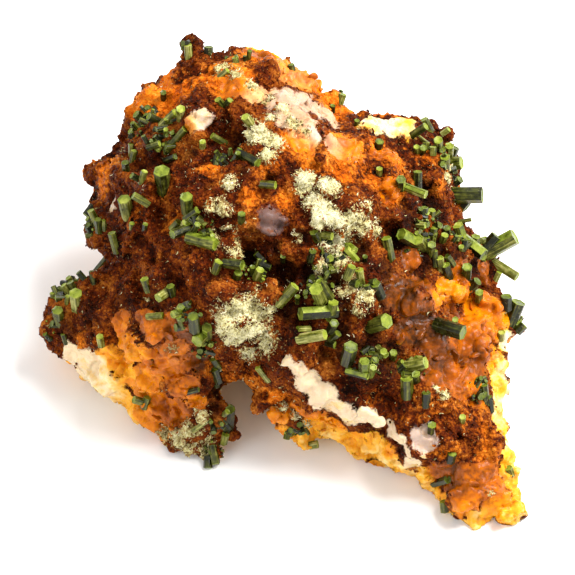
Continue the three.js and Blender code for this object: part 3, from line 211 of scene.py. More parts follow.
# Crystals too small to be pieces of their own: (root across, root up, tip across, tip up, thickness,
# how much nearer to the viewer the tip is), all in mm.
SMALL_CRYSTALS = (
    (16.3, 47.7, 16.3, 48.3, 0.6, 1), (16.7, 43.9, 16.7, 44.4, 0.5, 0.8),
    (15.2, 42.7, 16.1, 43, 0.6, 0.5), (14.1, 45.7, 13.5, 46.2, 0.8, 0.5),
    (13.1, 42.2, 13.1, 43.2, 0.6, 0.5), (13.3, 41.4, 13.5, 42.4, 0.6, 0.5),
    (12.7, 40.4, 12.6, 41.2, 0.7, 0.8), (20.4, 42.5, 20.4, 43.1, 0.6, 0.8),
    (22.4, 43.1, 21.3, 43.7, 0.6, 0.6), (24, 41.4, 23.9, 41.9, 0.5, 0.8),
    (16.8, 41.4, 17.7, 41.7, 0.6, 0.5), (14.8, 37.1, 13.6, 37.8, 0.7, 0.5),
    (19, 35.6, 20, 36.3, 0.7, 0.5), (14.1, 39.4, 13.4, 39.8, 0.6, 0.5),
    (14.4, 39.3, 14.7, 40.2, 0.6, 0.6), (17.6, 34.7, 18.1, 35.2, 0.7, 0.6),
    (24.3, 35.3, 24.3, 35.9, 0.7, 0.8), (18.7, 34.7, 18.9, 35.1, 0.8, 0.7),
    (13.4, 34.7, 13.4, 35.1, 0.5, 0.4), (14.7, 34.6, 14.8, 35, 0.5, 0.4), (8.9, 36.7, 8.4, 36, 0.7, 0.2),
    (9.6, 35.2, 9, 36.5, 0.7, 0.6), (9.8, 34.6, 9.7, 35.6, 0.7, 0.7), (9, 34.2, 8.6, 34.9, 0.6, 0.3),
    (10.4, 34.8, 10.4, 35.5, 0.5, 0.5), (9.3, 29.4, 9.2, 30.4, 0.6, 0.3),
    (8.4, 29.7, 7.8, 30.3, 0.6, 0.2), (6.7, 28.3, 6.2, 29, 0.7, 0.3), (7.2, 28.7, 6.9, 29.3, 0.7, 0.3),
    (6.1, 27.7, 5.4, 27.7, 0.5, 0.2), (5.5, 25, 5.5, 25.4, 0.4, 0.4), (6.6, 27.3, 6.7, 27.9, 0.5, 0.5),
    (6.4, 23.4, 6.2, 24.1, 0.5, 0.4), (4.7, 23.7, 4.3, 24.1, 0.5, 0.1),
    (10.2, 23.2, 10.1, 23.9, 0.7, 0.9), (15, 28.7, 14.7, 29.6, 0.8, 0.6),
    (17.5, 28.1, 17.3, 28.9, 0.8, 0.6), (15.3, 25.9, 16.6, 26, 0.6, 0.5),
    (18.5, 25.1, 18.2, 25.9, 0.6, 0.5), (21.3, 22.4, 20, 22.8, 0.6, 0.3),
    (21.7, 19.2, 21.6, 19.8, 0.6, 0.4), (14.3, 17.3, 13.4, 17.6, 0.7, 0.5),
    (14.5, 17, 14.8, 17.8, 0.7, 0.5), (19, 18.4, 20, 18.7, 0.5, 0.4), (22.4, 13.4, 22.6, 14.1, 0.7, 0.3),
    (21.3, 12.6, 21.6, 11.1, 0.7, 0.2), (20.8, 11.5, 20.8, 10.7, 0.8, 0.2),
    (19.6, 14.7, 21.1, 15.8, 0.5, 0.4), (26.3, 30.9, 26.3, 31.4, 0.7, 0.5),
    (29.7, 27.5, 29.7, 27.9, 0.5, 0.6), (28.3, 31.4, 28.3, 31.8, 0.5, 0.5),
    (30.6, 24.7, 29.7, 24.7, 0.6, 0.6), (33.1, 23.7, 33.7, 24.3, 0.7, 0.7),
    (32.8, 23.3, 33.5, 23.1, 0.7, 0.3), (37.5, 23, 38.4, 22.1, 0.7, 0.7),
    (39.1, 22, 39.1, 22.4, 0.7, 0.9), (37.2, 21.2, 37.3, 21.7, 0.7, 0.8),
    (26.7, 19.8, 25.8, 20.9, 0.6, 0.5), (21.8, 30.5, 22.1, 31.3, 0.8, 0.6),
    (23.8, 29.6, 24, 30.2, 0.8, 0.8), (36.3, 31.3, 36.3, 31.8, 0.5, 0.6),
    (34.6, 29.9, 35, 30.8, 0.8, 0.6), (31.6, 33.6, 31.3, 34.2, 0.8, 0.7),
    (31, 31.6, 31.2, 32.3, 0.7, 0.5), (32.1, 33.9, 33.1, 33.7, 0.7, 0.5),
    (26.4, 38.8, 27.6, 38.7, 0.7, 0.5), (42.3, 35.2, 42.3, 36.7, 0.7, 0.6),
    (41.5, 35, 42.4, 34.9, 0.6, 0.5), (43.1, 33.2, 43.3, 34.7, 0.7, 0.8),
    (43.4, 31.2, 43.3, 32.4, 0.6, 0.5), (44.6, 34.2, 44.6, 34.7, 0.7, 0.7),
    (44.2, 33.4, 44.4, 34, 0.7, 0.6), (45.1, 31.2, 44.6, 31.9, 0.6, 0.6),
    (20.8, 52.4, 20.8, 53, 0.8, 0.2), (22.2, 49.9, 22.8, 50.4, 0.6, 0.4),
    (22.3, 46.8, 21.8, 47.4, 0.7, 0.5), (22.7, 46.8, 23.1, 47.3, 0.7, 0.5),
    (25, 45, 24.6, 45.5, 0.8, 0.6), (34.1, 47.7, 34.3, 48.3, 0.8, 0.2),
    (29.2, 50.8, 29.1, 51.2, 0.6, 0.2), (37.8, 42.7, 37.9, 43.3, 0.8, 0.7),
    (37.8, 40, 37.8, 40.5, 0.6, 0.5), (35.7, 45.1, 35.7, 45.5, 0.5, 0.4),
    (33.3, 46.7, 33.3, 47.1, 0.5, 0.4), (42.2, 43.9, 43, 43.2, 0.4, 0.4),
    (44.4, 42.4, 44.3, 42.7, 0.7, 0.7), (45.6, 42.4, 45.8, 43, 0.8, 0.3),
    (44.7, 44.5, 45.1, 44.8, 0.6, 0.2), (41.8, 42.3, 41.7, 42.9, 0.6, 0.7),
    (42.3, 42.3, 42.4, 42.8, 0.7, 0.8), (45.9, 39.5, 46.3, 39.8, 0.9, 0.3),
    (46.1, 35.4, 47.3, 35.6, 0.4, 0.2), (47.6, 33.2, 47.7, 33.9, 0.9, 0.4), (50, 33.3, 49.8, 34, 1, 0.3),
    (50, 29.7, 50.2, 30.3, 0.6, 0.2), (47.9, 27.7, 47.9, 28.3, 0.8, 0.8),
    (52.1, 24.5, 52.6, 25, 0.8, 0.1), (50.2, 23.8, 50.2, 24.3, 0.7, 0.5),
    (45.3, 25.1, 45.3, 25.6, 0.6, 1.3), (41.4, 19.7, 41.3, 20.3, 0.8, 0.9),
    (42.3, 17.4, 42.3, 18.5, 0.8, 0.4), (45.9, 15.7, 45.9, 16.1, 0.6, 0.7),
    (42.9, 14.7, 42.9, 15.3, 0.8, 0.8), (44.8, 11.9, 44.9, 12.5, 0.8, 0.6),
    (50.8, 10.4, 50.6, 10.9, 0.8, 0.4), (44.3, 6.9, 44.2, 7.6, 0.8, 0.3),
    (30, 14.4, 29.2, 14.7, 0.5, 0.3), (31.4, 12.9, 31.8, 13.1, 0.8, 0.1),
)
# How near to a crystal the rock is drawn in, and how far into the crystal it then goes, in mm.
SOCKET_GAP = 0.42
SOCKET_OVERLAP = 0.12
# Small crystals: how deep the root is sunk in mm, the radius for a thickness of 1, and how far each
# is turned from the one before, in radians.
SUNK_ROOT = 0.4
RADIUS_SHARE = 0.58
GOLDEN_ANGLE = 2.39996
# Shapes of the tiny crystals before they are scaled, (length, radius), and where their roots end.
TINY_SHAPES = ((0.9, 0.34), (0.65, 0.38), (1.15, 0.3), (0.5, 0.42))
TINY_ROOT = -0.25
# The hollow in a prism's end: its slope's width and its depth, for a rim 1 wide.
HOLLOW_SLOPE = 0.8
HOLLOW_DEPTH = 0.7
# The least angle of an edge of a prism that is eased.
SHARP_EDGE = math.radians(25)
# How many times the way a surface faces is averaged, so that single facets don't show in it.
FACING_PASSES = 60
# The least gap between the rock's sides and the floor, and how far the floor lies below, in mm.
FLOOR_GAP = 0.03
FLOOR_DROP = 0.02
# The lights' places and widths, in metres.
WINDOW_PLACE = (0.17, 0.03, 0.29)
WINDOW_WIDTH = 0.17
SIDE_PLACE = (-0.24, -0.2, 0.2)
SIDE_WIDTH = 0.2
# The camera: its sensor in mm, the nearest it sees in metres, and the depth in mm at which
# PICTURE_SIZE fills the picture, less than 0 behind the drawing plane.
SENSOR_WIDTH = 36
NEAREST_SEEN = 0.01
TARGET_DEPTH = -8.5


def colour(code):
    """The linear RGBA of an sRGB hex code."""
    channels = [int(code[i : i + 2], 16) / 255 for i in (1, 3, 5)]
    linear = [c / 12.92 if c <= 0.04045 else ((c + 0.055) / 1.055) ** 2.4 for c in channels]
    return (*linear, 1.0)


def set_inputs(tree, node, inputs):
    """Gives a node's inputs their links, the colours of hex codes, or plain values."""
    for key, value in inputs.items():
        if isinstance(value, bpy.types.NodeSocket):
            tree.links.new(value, node.inputs[key])
        elif isinstance(value, str) and value.startswith("#"):
            node.inputs[key].default_value = colour(value)
        else:
            node.inputs[key].default_value = value


def add_node(tree, kind, inputs=None, output=0, stops=(), **settings):
    """Adds a node with its settings and inputs, and gives one of its outputs. The stops of a colour
    ramp are (position, colour) pairs."""
    node = tree.nodes.new(kind)
    for key, value in settings.items():
        setattr(node, key, value)
    set_inputs(tree, node, inputs or {})
    for i, (position, shade) in enumerate(stops):
        elements = node.color_ramp.elements
        element = elements[i] if i < len(elements) else elements.new(position)
        element.position = position
        element.color = colour(shade) if isinstance(shade, str) else shade
    return node.outputs[output] if node.outputs else None


def on_plane(u, v, depth):
    """The point of the frame at a place of the drawing plane, all in millimetres."""
    return DRAWING_ORIGIN + ACROSS * u + UP * v + TOWARDS * depth


def depth_of(point):
    """How far a point of the frame stands in front of the drawing plane, in millimetres."""
    return (point - DRAWING_ORIGIN).dot(TOWARDS)


def smooth_step(low, high, values):
    """A smooth step from 0 at low to 1 at high."""
    t = np.clip((values - low) / (high - low), 0, 1)
    return t * t * (3 - 2 * t)


def lattice(x, y, z, seed):
    """A repeatable random number from -1 to 1 for each whole-numbered corner. The large numbers only
    stir the bits."""
    h = (x * 374761393 + y * 668265263 + z * 1440662683 + seed * 1274126177) & 0xFFFFFFFF
    h = ((h ^ (h >> 13)) * 1103515245) & 0xFFFFFFFF
    h = ((h ^ (h >> 15)) * 668265263) & 0xFFFFFFFF
    return ((h ^ (h >> 16)) & 0xFFFF) / 32767.5 - 1.0


def smooth_noise(points, size, seed):
    """Noise from -1 to 1 whose bumps are size across. Each seed gives a pattern of its own."""
    scaled = points / size
    corner = np.floor(scaled).astype(np.int64)
    t = scaled - corner
    t = t * t * (3 - 2 * t)
    total = np.zeros(len(points))
    for dx, dy, dz in itertools.product((0, 1), repeat=3):
        share = (t[:, 0] if dx else 1 - t[:, 0]) * (t[:, 1] if dy else 1 - t[:, 1])
        share = share * (t[:, 2] if dz else 1 - t[:, 2])
        total += share * lattice(*(corner + (dx, dy, dz)).T, seed)
    return total


def layered_noise(points, size, seed, layers=3):
    """Noise with finer and weaker bumps on its bumps."""
    total = sum(smooth_noise(points, size / 2**k, seed + k) / 1.8**k for k in range(layers))
    return total / sum(1 / 1.8**k for k in range(layers))


def cells(points, size, seed):
    """Irregular cells: each point's least two distances, its way from its cell's middle, its cell."""
    scaled = points / size
    corner = np.floor(scaled).astype(np.int64)
    first = np.full(len(points), 9.0)
    second = np.full(len(points), 9.0)
    way = np.zeros_like(points)
    owner = np.zeros((len(points), 3), dtype=np.int64)
    for step in itertools.product((-1, 0, 1), repeat=3):
        cell = corner + step
        jitter = [lattice(*cell.T, seed + k) for k in range(3)]
        offset = scaled - (cell + 0.5 + 0.42 * np.stack(jitter, axis=1))
        distance = np.linalg.norm(offset, axis=1)
        nearer = distance < first
        second = np.where(nearer, first, np.minimum(second, distance))
        first = np.where(nearer, distance, first)
        way[nearer] = offset[nearer]
        owner[nearer] = cell[nearer]
    return first, second, way, owner


def broken_faces(points, size, seed):
    """Relief of flat faces about size across, each tilted its own way, as on broken quartz."""
    first, second, way, owner = cells(points, size, seed)
    tilt = np.stack([lattice(*owner.T, seed + 5 + k) for k in range(3)], axis=1)
    faces = 0.7 * np.sum(way * tilt, axis=1) + 0.35 * (0.5 - first)
    return faces - 0.2 * smooth_step(0.12, 0.0, second - first)


def coordinates(mesh):
    """A mesh's vertex places in millimetres."""
    flat = np.empty(len(mesh.vertices) * 3)
    mesh.vertices.foreach_get("co", flat)
    return flat.reshape(-1, 3) / MM


def normals(mesh):
    """The outward direction at each vertex."""
    flat = np.empty(len(mesh.vertices) * 3)
    mesh.vertices.foreach_get("normal", flat)
    return flat.reshape(-1, 3)


def spread_out(mesh, values, passes):
    """One number for each vertex, averaged with its neighbours' again and again."""
    ends = np.empty(len(mesh.edges) * 2, dtype=np.int64)
    mesh.edges.foreach_get("vertices", ends)
    first, second = ends.reshape(-1, 2).T
    neighbours = np.maximum(np.bincount(ends, minlength=len(values)), 1)
    for _ in range(passes):
        total = np.bincount(first, values[second], len(values))
        total += np.bincount(second, values[first], len(values))
        values = 0.5 * (values + total / neighbours)
    return values


def set_coordinates(mesh, places):
    """Moves a mesh's vertices to places in millimetres."""
    mesh.vertices.foreach_set("co", (places * MM).ravel())
    mesh.update()


def set_attribute(mesh, name, values):
    """Stores one number for each vertex."""
    attribute = mesh.attributes.get(name) or mesh.attributes.new(name, "FLOAT", "POINT")
    attribute.data.foreach_set("value", np.asarray(values, dtype=np.float32))


def new_object(name, data):
    """Puts a mesh, lamp or camera in the scene."""
    thing = bpy.data.objects.new(name, data)
    bpy.context.scene.collection.objects.link(thing)
    return thing


def finished_mesh(thing, name):
    """The plain mesh that an object's modifiers give. The object is removed."""
    evaluated = thing.evaluated_get(bpy.context.evaluated_depsgraph_get())
    mesh = bpy.data.meshes.new_from_object(evaluated)
    mesh.name = name
    bpy.data.objects.remove(thing)
    return mesh


def mesh_of(work, name):
    """The mesh that a bmesh makes. The bmesh is freed."""
    mesh = bpy.data.meshes.new(name)
    work.to_mesh(mesh)
    work.free()
    return mesh


def merged_copy(node, name):
    """A copy of a CAD node's mesh with its loose triangles joined."""
    work = bmesh.new()
    work.from_mesh(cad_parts[node].data)
    bmesh.ops.remove_doubles(work, verts=work.verts, dist=0.001 * MM)
    return mesh_of(work, name)


def crystal_nodes():
    """The names of the CAD nodes that are crystals."""
    return sorted(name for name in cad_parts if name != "matrix")


def crystals_tree():
    """A search tree of all the CAD crystals, in millimetres."""
    places = []
    faces = []
    for name in crystal_nodes():
        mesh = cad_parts[name].data
        start = len(places)
        places += [vertex.co / MM for vertex in mesh.vertices]
        faces += [[start + i for i in polygon.vertices] for polygon in mesh.polygons]
    return BVHTree.FromPolygons(places, faces)


def mesh_tree(mesh):
    """A search tree of a mesh, in millimetres."""
    places = [Vector(place) for place in coordinates(mesh)]
    return BVHTree.FromPolygons(places, [list(polygon.vertices) for polygon in mesh.polygons])


def surface_at(tree, u, v):
    """The nearest point to the viewer of a surface, at a place of the drawing plane."""
    return tree.ray_cast(on_plane(u, v, 100), -TOWARDS)[0]


def spot_field(points, tree, spots, raggedness, seed):
    """How far inside its nearest spot each point is, 1 in its middle and less than 0 outside, the
    weighted mean of the numbers that the spots carry, and the sum of the weights."""
    uneven = 1 + raggedness * layered_noise(points, 1.6, seed)
    inside = np.full(len(points), -9.0)
    carried = np.zeros((len(points), len(spots[0]) - 3))
    total = np.full(len(points), 1e-9)
    for u, v, radius, *numbers in spots:
        hit = surface_at(tree, u, v)
        if hit is None:
            continue
        distance = np.linalg.norm(points - np.array(hit), axis=1) * uneven / radius
        inside = np.maximum(inside, 1 - distance)
        weight = np.exp(-2.5 * np.minimum(distance, 6) ** 2)
        total += weight
        carried += weight[:, None] * np.array(numbers)
    return inside, carried / total[:, None], total


# Materials

def weighted_sum(tree, *pairs):
    """The sum of numbers, each times its share."""
    total = 0.0
    for value, share in pairs:
        total = add_node(tree, "ShaderNodeMath", {0: value, 1: share, 2: total}, operation="MULTIPLY_ADD")
    return total


def new_material(name):
    """A new node material, its tree and its shader."""
    material = bpy.data.materials.new(name)
    material.use_nodes = True
    tree = material.node_tree
    return material, tree, tree.nodes["Principled BSDF"]


def dress_gossan(tree, shader, place, own_tone=0.5):
    """Gossan: dark red-brown grains, bright ochre where the rust is strong, pale specks painted as glints,
    and painted shade: lighter on crests, near black in hollows.
    """
    settings = bpy.context.scene.rock_settings
    rust, dark, crest = [
        add_node(tree, "ShaderNodeAttribute", output="Fac", attribute_name=name)
        for name in ("rust", "dark", "crest")]
    # Patches of oxide are some 2.6 mm across and its grains 0.2 to 0.5 mm. Finer dust wouldn't show.
    patches, fine, dots = [
        add_node(tree, "ShaderNodeTexNoise",
                 {"Vector": place, "Scale": 1 / (size * MM), "Detail": detail, "Roughness": roughness})
        for size, detail, roughness in ((2.6, 4, 0.6), (0.5, 4, 0.65), (0.28, 2, 0.5))]
    grain = add_node(tree, "ShaderNodeTexVoronoi", {"Vector": place, "Scale": 1 / (0.2 * MM)})
    grain_tone = add_node(tree, "ShaderNodeSeparateColor", {"Color": grain.node.outputs["Color"]})
    # The crest share is painted light and shade: the gossan is lighter on raised places, darker in low
    # ones.
    tone = weighted_sum(tree, (patches, 0.5), (fine, 0.38), (grain_tone, 0.12), (own_tone, 0.12),
                        (crest, 0.4), (1.0, -0.17))
    oxide = add_node(tree, "ShaderNodeValToRGB", {"Fac": tone}, stops=(
        (0.42, "#120400"), (0.51, "#320D00"), (0.59, settings.oxide), (0.67, "#7E3C0A"), (0.78, "#AA6420"),
        (0.92, "#C07A34")))
    ochre = add_node(tree, "ShaderNodeValToRGB", {"Fac": tone}, stops=(
        (0.36, "#7A2800"), (0.46, "#B04A02"), (0.57, settings.ochre), (0.7, "#E48420"), (0.88, "#EAA660")))
    rusty = weighted_sum(tree, (rust, 1.0), (fine, 1.2), (patches, 0.8))
    share = add_node(tree, "ShaderNodeMapRange", {"Value": rusty, "From Min": 1.15, "From Max": 1.8},
                     interpolation_type="SMOOTHSTEP")
    # Painted highlight: pale specks stand for glints of light on the grains.
    painted_glints = add_node(tree, "ShaderNodeMapRange",
                        {"Value": dots, "From Min": 0.67, "From Max": 0.72, "To Max": 0.5})
    # Painted shade: the dark spots turn the gossan near black where hollows and crevices lie in shadow.
    painted_shade = add_node(tree, "ShaderNodeMath", {0: dark, 1: 0.85}, operation="MULTIPLY")
    body = oxide
    for factor, layer in ((share, ochre), (painted_glints, "#B88848"), (painted_shade, "#0A0300")):
        body = add_node(tree, "ShaderNodeMix", {0: factor, 6: body, 7: layer}, 2, data_type="RGBA")
    gloss = add_node(tree, "ShaderNodeMapRange",
                     {"Value": grain_tone, "From Min": 0.1, "From Max": 0.7, "To Min": 0.25, "To Max": 0.8})
    rough = add_node(tree, "ShaderNodeBump", {"Height": grain, "Distance": 0.12 * MM, "Strength": 0.8})
    relief = add_node(tree, "ShaderNodeBump",
                      {"Height": fine, "Distance": 0.3 * MM, "Strength": 0.8, "Normal": rough})
    set_inputs(tree, shader, {"Base Color": body, "Roughness": gloss, "Specular IOR Level": 0.05,
                              "Normal": relief})


def dress_quartz(tree, shader, place):
    """Vein quartz: milky where it is clean, amber and then brown as iron soaks in. Glossy broken
    faces, and light goes a little way in."""
    settings = bpy.context.scene.rock_settings
    stain, haze, crest = [
        add_node(tree, "ShaderNodeAttribute", output="Fac", attribute_name=name)
        for name in ("stain", "haze", "crest")]
    # Stains are some 2 mm across, seams 1.1 mm and flaws 0.55 mm. The finest breaks are drawn 0.22 mm
    # wide, coarser than they are, so that they show.
    patches, fine, streaks, grit = [
        add_node(tree, "ShaderNodeTexNoise",
                 {"Vector": place, "Scale": 1 / (size * MM), "Detail": detail, "Roughness": roughness})
        for size, detail, roughness in ((2.0, 4, 0.55), (0.55, 4, 0.6), (1.1, 5, 0.65), (0.22, 3, 0.6))]
    # The crest share is painted light and shade: less stain and lighter on raised places, darker in low
    # ones.
    stained = weighted_sum(tree, (stain, 1.0), (patches, 0.6), (fine, 0.3), (crest, -0.2), (1.0, -0.36))
    body = add_node(tree, "ShaderNodeValToRGB", {"Fac": stained}, stops=(
        (0.0, "#DCC29C"), (0.07, settings.milky), (0.16, "#EAC67C"), (0.28, "#E8A828"),
        (0.43, settings.amber), (0.6, "#C66A02"), (0.76, "#984A02"), (0.96, "#421F02")))
    veil = add_node(tree, "ShaderNodeMath", {0: haze, 1: 0.72}, operation="MULTIPLY")
    seams = add_node(tree, "ShaderNodeMapRange", {"Value": streaks, "From Min": 0.52, "From Max": 0.66},
                     interpolation_type="SMOOTHSTEP")
    soaking = weighted_sum(tree, (stain, 0.8), (haze, 0.3), (1.0, 0.02))
    soaked = add_node(tree, "ShaderNodeMath", {0: seams, 1: soaking}, operation="MULTIPLY", use_clamp=True)
    for factor, layer in ((veil, "#A68C88"), (soaked, "#663002")):
        body = add_node(tree, "ShaderNodeMix", {0: factor, 6: body, 7: layer}, 2, data_type="RGBA")
    gloss = add_node(tree, "ShaderNodeMapRange",
                     {"Value": fine, "From Min": 0.35, "From Max": 0.65, "To Min": 0.16, "To Max": 0.5})
    creases = add_node(tree, "ShaderNodeTexNoise",
                       {"Vector": place, "Scale": 1 / (1.6 * MM), "Detail": 4, "Roughness": 0.7},
                       noise_type="RIDGED_MULTIFRACTAL")
    breaks = add_node(tree, "ShaderNodeBump", {"Height": creases, "Distance": 0.14 * MM, "Strength": 0.35})
    relief = add_node(tree, "ShaderNodeBump",
                      {"Height": grit, "Distance": 0.08 * MM, "Strength": 0.4, "Normal": breaks})
    set_inputs(tree, shader, {
        "Base Color": body, "Roughness": gloss, "Normal": relief, "IOR": 1.544, "Specular IOR Level": 0.15,
        "Subsurface Weight": 0.3, "Subsurface Radius": (1.0, 0.6, 0.2), "Subsurface Scale": 0.6 * MM})


def dress_crust(tree, shader, place, paleness):
    """Powdery crust: matt cream where pale, tan and earthy elsewhere, crossed by dark pores."""
    settings = bpy.context.scene.crust_settings
    # The powder's grains are drawn 0.32 mm across, coarser than they are, so that they show.
    fine, patches = [
        add_node(tree, "ShaderNodeTexNoise",
                 {"Vector": place, "Scale": 1 / (size * MM), "Detail": detail, "Roughness": roughness})
        for size, detail, roughness in ((0.32, 4, 0.7), (1.4, 3, 0.5))]
    crest = add_node(tree, "ShaderNodeAttribute", output="Fac", attribute_name="crest")
    # The crest share is painted light and shade: the crust is lighter on raised places, darker in low ones.
    tone = weighted_sum(tree, (fine, 0.7), (patches, 0.3), (paleness, 0.26), (crest, 0.3), (1.0, -0.19))
    body = add_node(tree, "ShaderNodeValToRGB", {"Fac": tone}, stops=(
        (0.42, "#3A220C"), (0.5, "#7C6034"), (0.57, "#B4A468"), (0.66, settings.cream), (0.8, "#E8E0BA")))
    relief = add_node(tree, "ShaderNodeBump", {"Height": fine, "Distance": 0.3 * MM, "Strength": 1.0})
    set_inputs(tree, shader, {"Base Color": body, "Roughness": 0.95, "Specular IOR Level": 0.1,
                              "Normal": relief})


def rock_material():
    """Gossan, the rusty weathered top of an ore vein: iron oxides, stained quartz and powdery crust."""
    material, tree, gossan = new_material("gossan with vein quartz and crust")
    place = add_node(tree, "ShaderNodeTexCoord", output="Object")
    paleness, in_quartz, in_crust = [
        add_node(tree, "ShaderNodeAttribute", output="Fac", attribute_name=name)
        for name in ("paleness", "quartz", "crust")]
    quartz = add_node(tree, "ShaderNodeBsdfPrincipled")
    crust = add_node(tree, "ShaderNodeBsdfPrincipled")
    dress_gossan(tree, gossan, place)
    dress_quartz(tree, quartz.node, place)
    dress_crust(tree, crust.node, place, paleness)
    # The borders between the three are broken up by lumps 0.9 mm across and specks of 0.25 mm.
    uneven = add_node(tree, "ShaderNodeTexNoise",
                      {"Vector": place, "Scale": 1 / (0.9 * MM), "Detail": 5, "Roughness": 0.65})
    speckle = add_node(tree, "ShaderNodeTexNoise", {"Vector": place, "Scale": 1 / (0.25 * MM)})
    ragged_quartz = weighted_sum(tree, (in_quartz, 1.0), (uneven, 1.0), (speckle, 0.35), (1.0, -0.62))
    ragged_crust = weighted_sum(tree, (in_crust, 1.0), (uneven, 1.8), (speckle, 2.0), (1.0, -1.9))
    is_quartz = add_node(tree, "ShaderNodeMapRange",
                         {"Value": ragged_quartz, "From Min": -0.12, "From Max": 0.16},
                         interpolation_type="SMOOTHSTEP")
    is_crust = add_node(tree, "ShaderNodeMapRange",
                        {"Value": ragged_crust, "From Min": 0.0, "From Max": 0.25},
                        interpolation_type="SMOOTHSTEP")
    rock = add_node(tree, "ShaderNodeMixShader", {0: is_quartz, 1: gossan.outputs[0], 2: quartz})
    whole = add_node(tree, "ShaderNodeMixShader", {0: is_crust, 1: rock, 2: crust})
    set_inputs(tree, tree.nodes["Material Output"], {"Surface": whole})
    return material


def grain_material():
    """Loose grains of the gossan: the same iron oxides, each grain its own shade."""
    material, tree, shader = new_material("gossan grains")
    place = add_node(tree, "ShaderNodeTexCoord", output="Object")
    own_tone = add_node(tree, "ShaderNodeAttribute", output="Fac", attribute_name="tone")
    dress_gossan(tree, shader, place, own_tone)
    return material


def flake_material():
    """Flakes of the powdery crust, matt and each its own shade."""
    material, tree, shader = new_material("powdery crust flakes")
    place = add_node(tree, "ShaderNodeTexCoord", output="Object")
    paleness, tone = [
        add_node(tree, "ShaderNodeAttribute", output="Fac", attribute_name=name)
        for name in ("paleness", "tone")]
    dress_crust(tree, shader, place, weighted_sum(tree, (paleness, 0.9), (tone, 1.7), (1.0, -0.65)))
    return material


def amber_material():
    """Blocky quartz grains soaked with iron: amber and glassy, with some light going through."""
    material, tree, shader = new_material("iron-stained quartz grains")
    place = add_node(tree, "ShaderNodeTexCoord", output="Object")
    dress_quartz(tree, shader, place)
    set_inputs(tree, shader, {"Transmission Weight": 0.15})
    return material


def pyromorphite_material():
    """Pyromorphite, a lead phosphate with a resinous to greasy lustre: olive green sides with fine
    lengthwise lines, and yellower green ends."""
    settings = bpy.context.scene.crystal_settings
    material, tree, shader = new_material("pyromorphite, resinous green crystal")
    local, tone, end = [
        add_node(tree, "ShaderNodeAttribute", output=kind, attribute_name=name)
        for name, kind in (("local", "Vector"), ("tone", "Fac"), ("end", "Fac"))]
    # The growth lines run along the prism. They are drawn 0.16 mm wide, coarser than they are, so that
    # they show.
    drawn_out = add_node(tree, "ShaderNodeMapping", {"Vector": local, "Scale": (1, 1, 0.06)})
    lines, zones, dusting = [
        add_node(tree, "ShaderNodeTexNoise",
                 {"Vector": place, "Scale": 1 / (size * MM), "Detail": detail, "Roughness": roughness})
        for place, size, detail, roughness in (
            (drawn_out, 0.16, 3, 0.6), (local, 0.8, 3, 0.6), (local, 0.35, 4, 0.7))]
    shade = weighted_sum(tree, (lines, 0.85), (zones, 0.6), (tone, 0.4), (1.0, -0.31))
    side = add_node(tree, "ShaderNodeValToRGB", {"Fac": shade}, stops=(
        (0.42, "#131502"), (0.54, "#2E3206"), (0.66, settings.side), (0.78, "#76762C"), (0.92, "#A8A360")))
    cap_shade = weighted_sum(tree, (zones, 0.8), (tone, 0.25))
    cap = add_node(tree, "ShaderNodeValToRGB", {"Fac": cap_shade}, stops=(
        (0.35, "#434C0C"), (0.48, "#64701A"), (0.62, settings.end), (0.78, "#A8AA4C")))
    dust = add_node(tree, "ShaderNodeMapRange",
                    {"Value": dusting, "From Min": 0.6, "From Max": 0.74, "To Max": 0.5})
    body = side
    for factor, layer in ((end, cap), (dust, "#A8A070")):
        body = add_node(tree, "ShaderNodeMix", {0: factor, 6: body, 7: layer}, 2, data_type="RGBA")
    gloss = add_node(tree, "ShaderNodeMapRange",
                     {"Value": zones, "From Min": 0.35, "From Max": 0.65, "To Min": 0.25, "To Max": 0.5})
    relief = add_node(tree, "ShaderNodeBump", {"Height": lines, "Distance": 0.05 * MM, "Strength": 0.6})
    set_inputs(tree, shader, {"Base Color": body, "Roughness": gloss, "Normal": relief, "IOR": 2.05,
                              "Specular IOR Level": 0.11})
    return material


def floor_material():
    """Matt white paper."""
    material, tree, shader = new_material("matt white paper")
    set_inputs(tree, shader, {"Base Color": bpy.context.scene.stage_settings.paper, "Roughness": 0.9})
    return material


# What is built once and shared, by the function that builds it.
MADE = {}


def shared(make):
    """What a function builds, built once."""
    if make not in MADE:
        MADE[make] = make()
    return MADE[make]


def declare(thing, slot, *nodes):
    """Attaches a finished piece to the body, and hides the CAD nodes that it stands in for."""
    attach(thing, BODY)
    if nodes:
        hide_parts(*nodes)


# The rock

def remeshed_rock(voxel):
    """The CAD rock with small even faces."""
    thing = new_object("rock_work", merged_copy("matrix", "rock_work"))
    modifier = thing.modifiers.new("voxels", "REMESH")
    modifier.mode = "VOXEL"
    modifier.voxel_size = voxel * MM
    smooth = thing.modifiers.new("smooth", "SMOOTH")
    smooth.factor = 0.5
    smooth.iterations = 2
    return finished_mesh(thing, "rock")


def close_sockets(mesh):
    """Draws the rock in round the crystals' roots. Gives each vertex's distance from the crystals."""
    tree = crystals_tree()
    places = coordinates(mesh)
    distances = np.full(len(places), 9.0)
    for i, place in enumerate(places):
        nearest, _, _, distance = tree.find_nearest(Vector(place), 2.0)
        if nearest is None:
            continue
        distances[i] = distance
        if distance < SOCKET_GAP:
            places[i] += (np.array(nearest) - place) * (1 + SOCKET_OVERLAP / max(distance, 0.02))
    set_coordinates(mesh, places)
    return distances


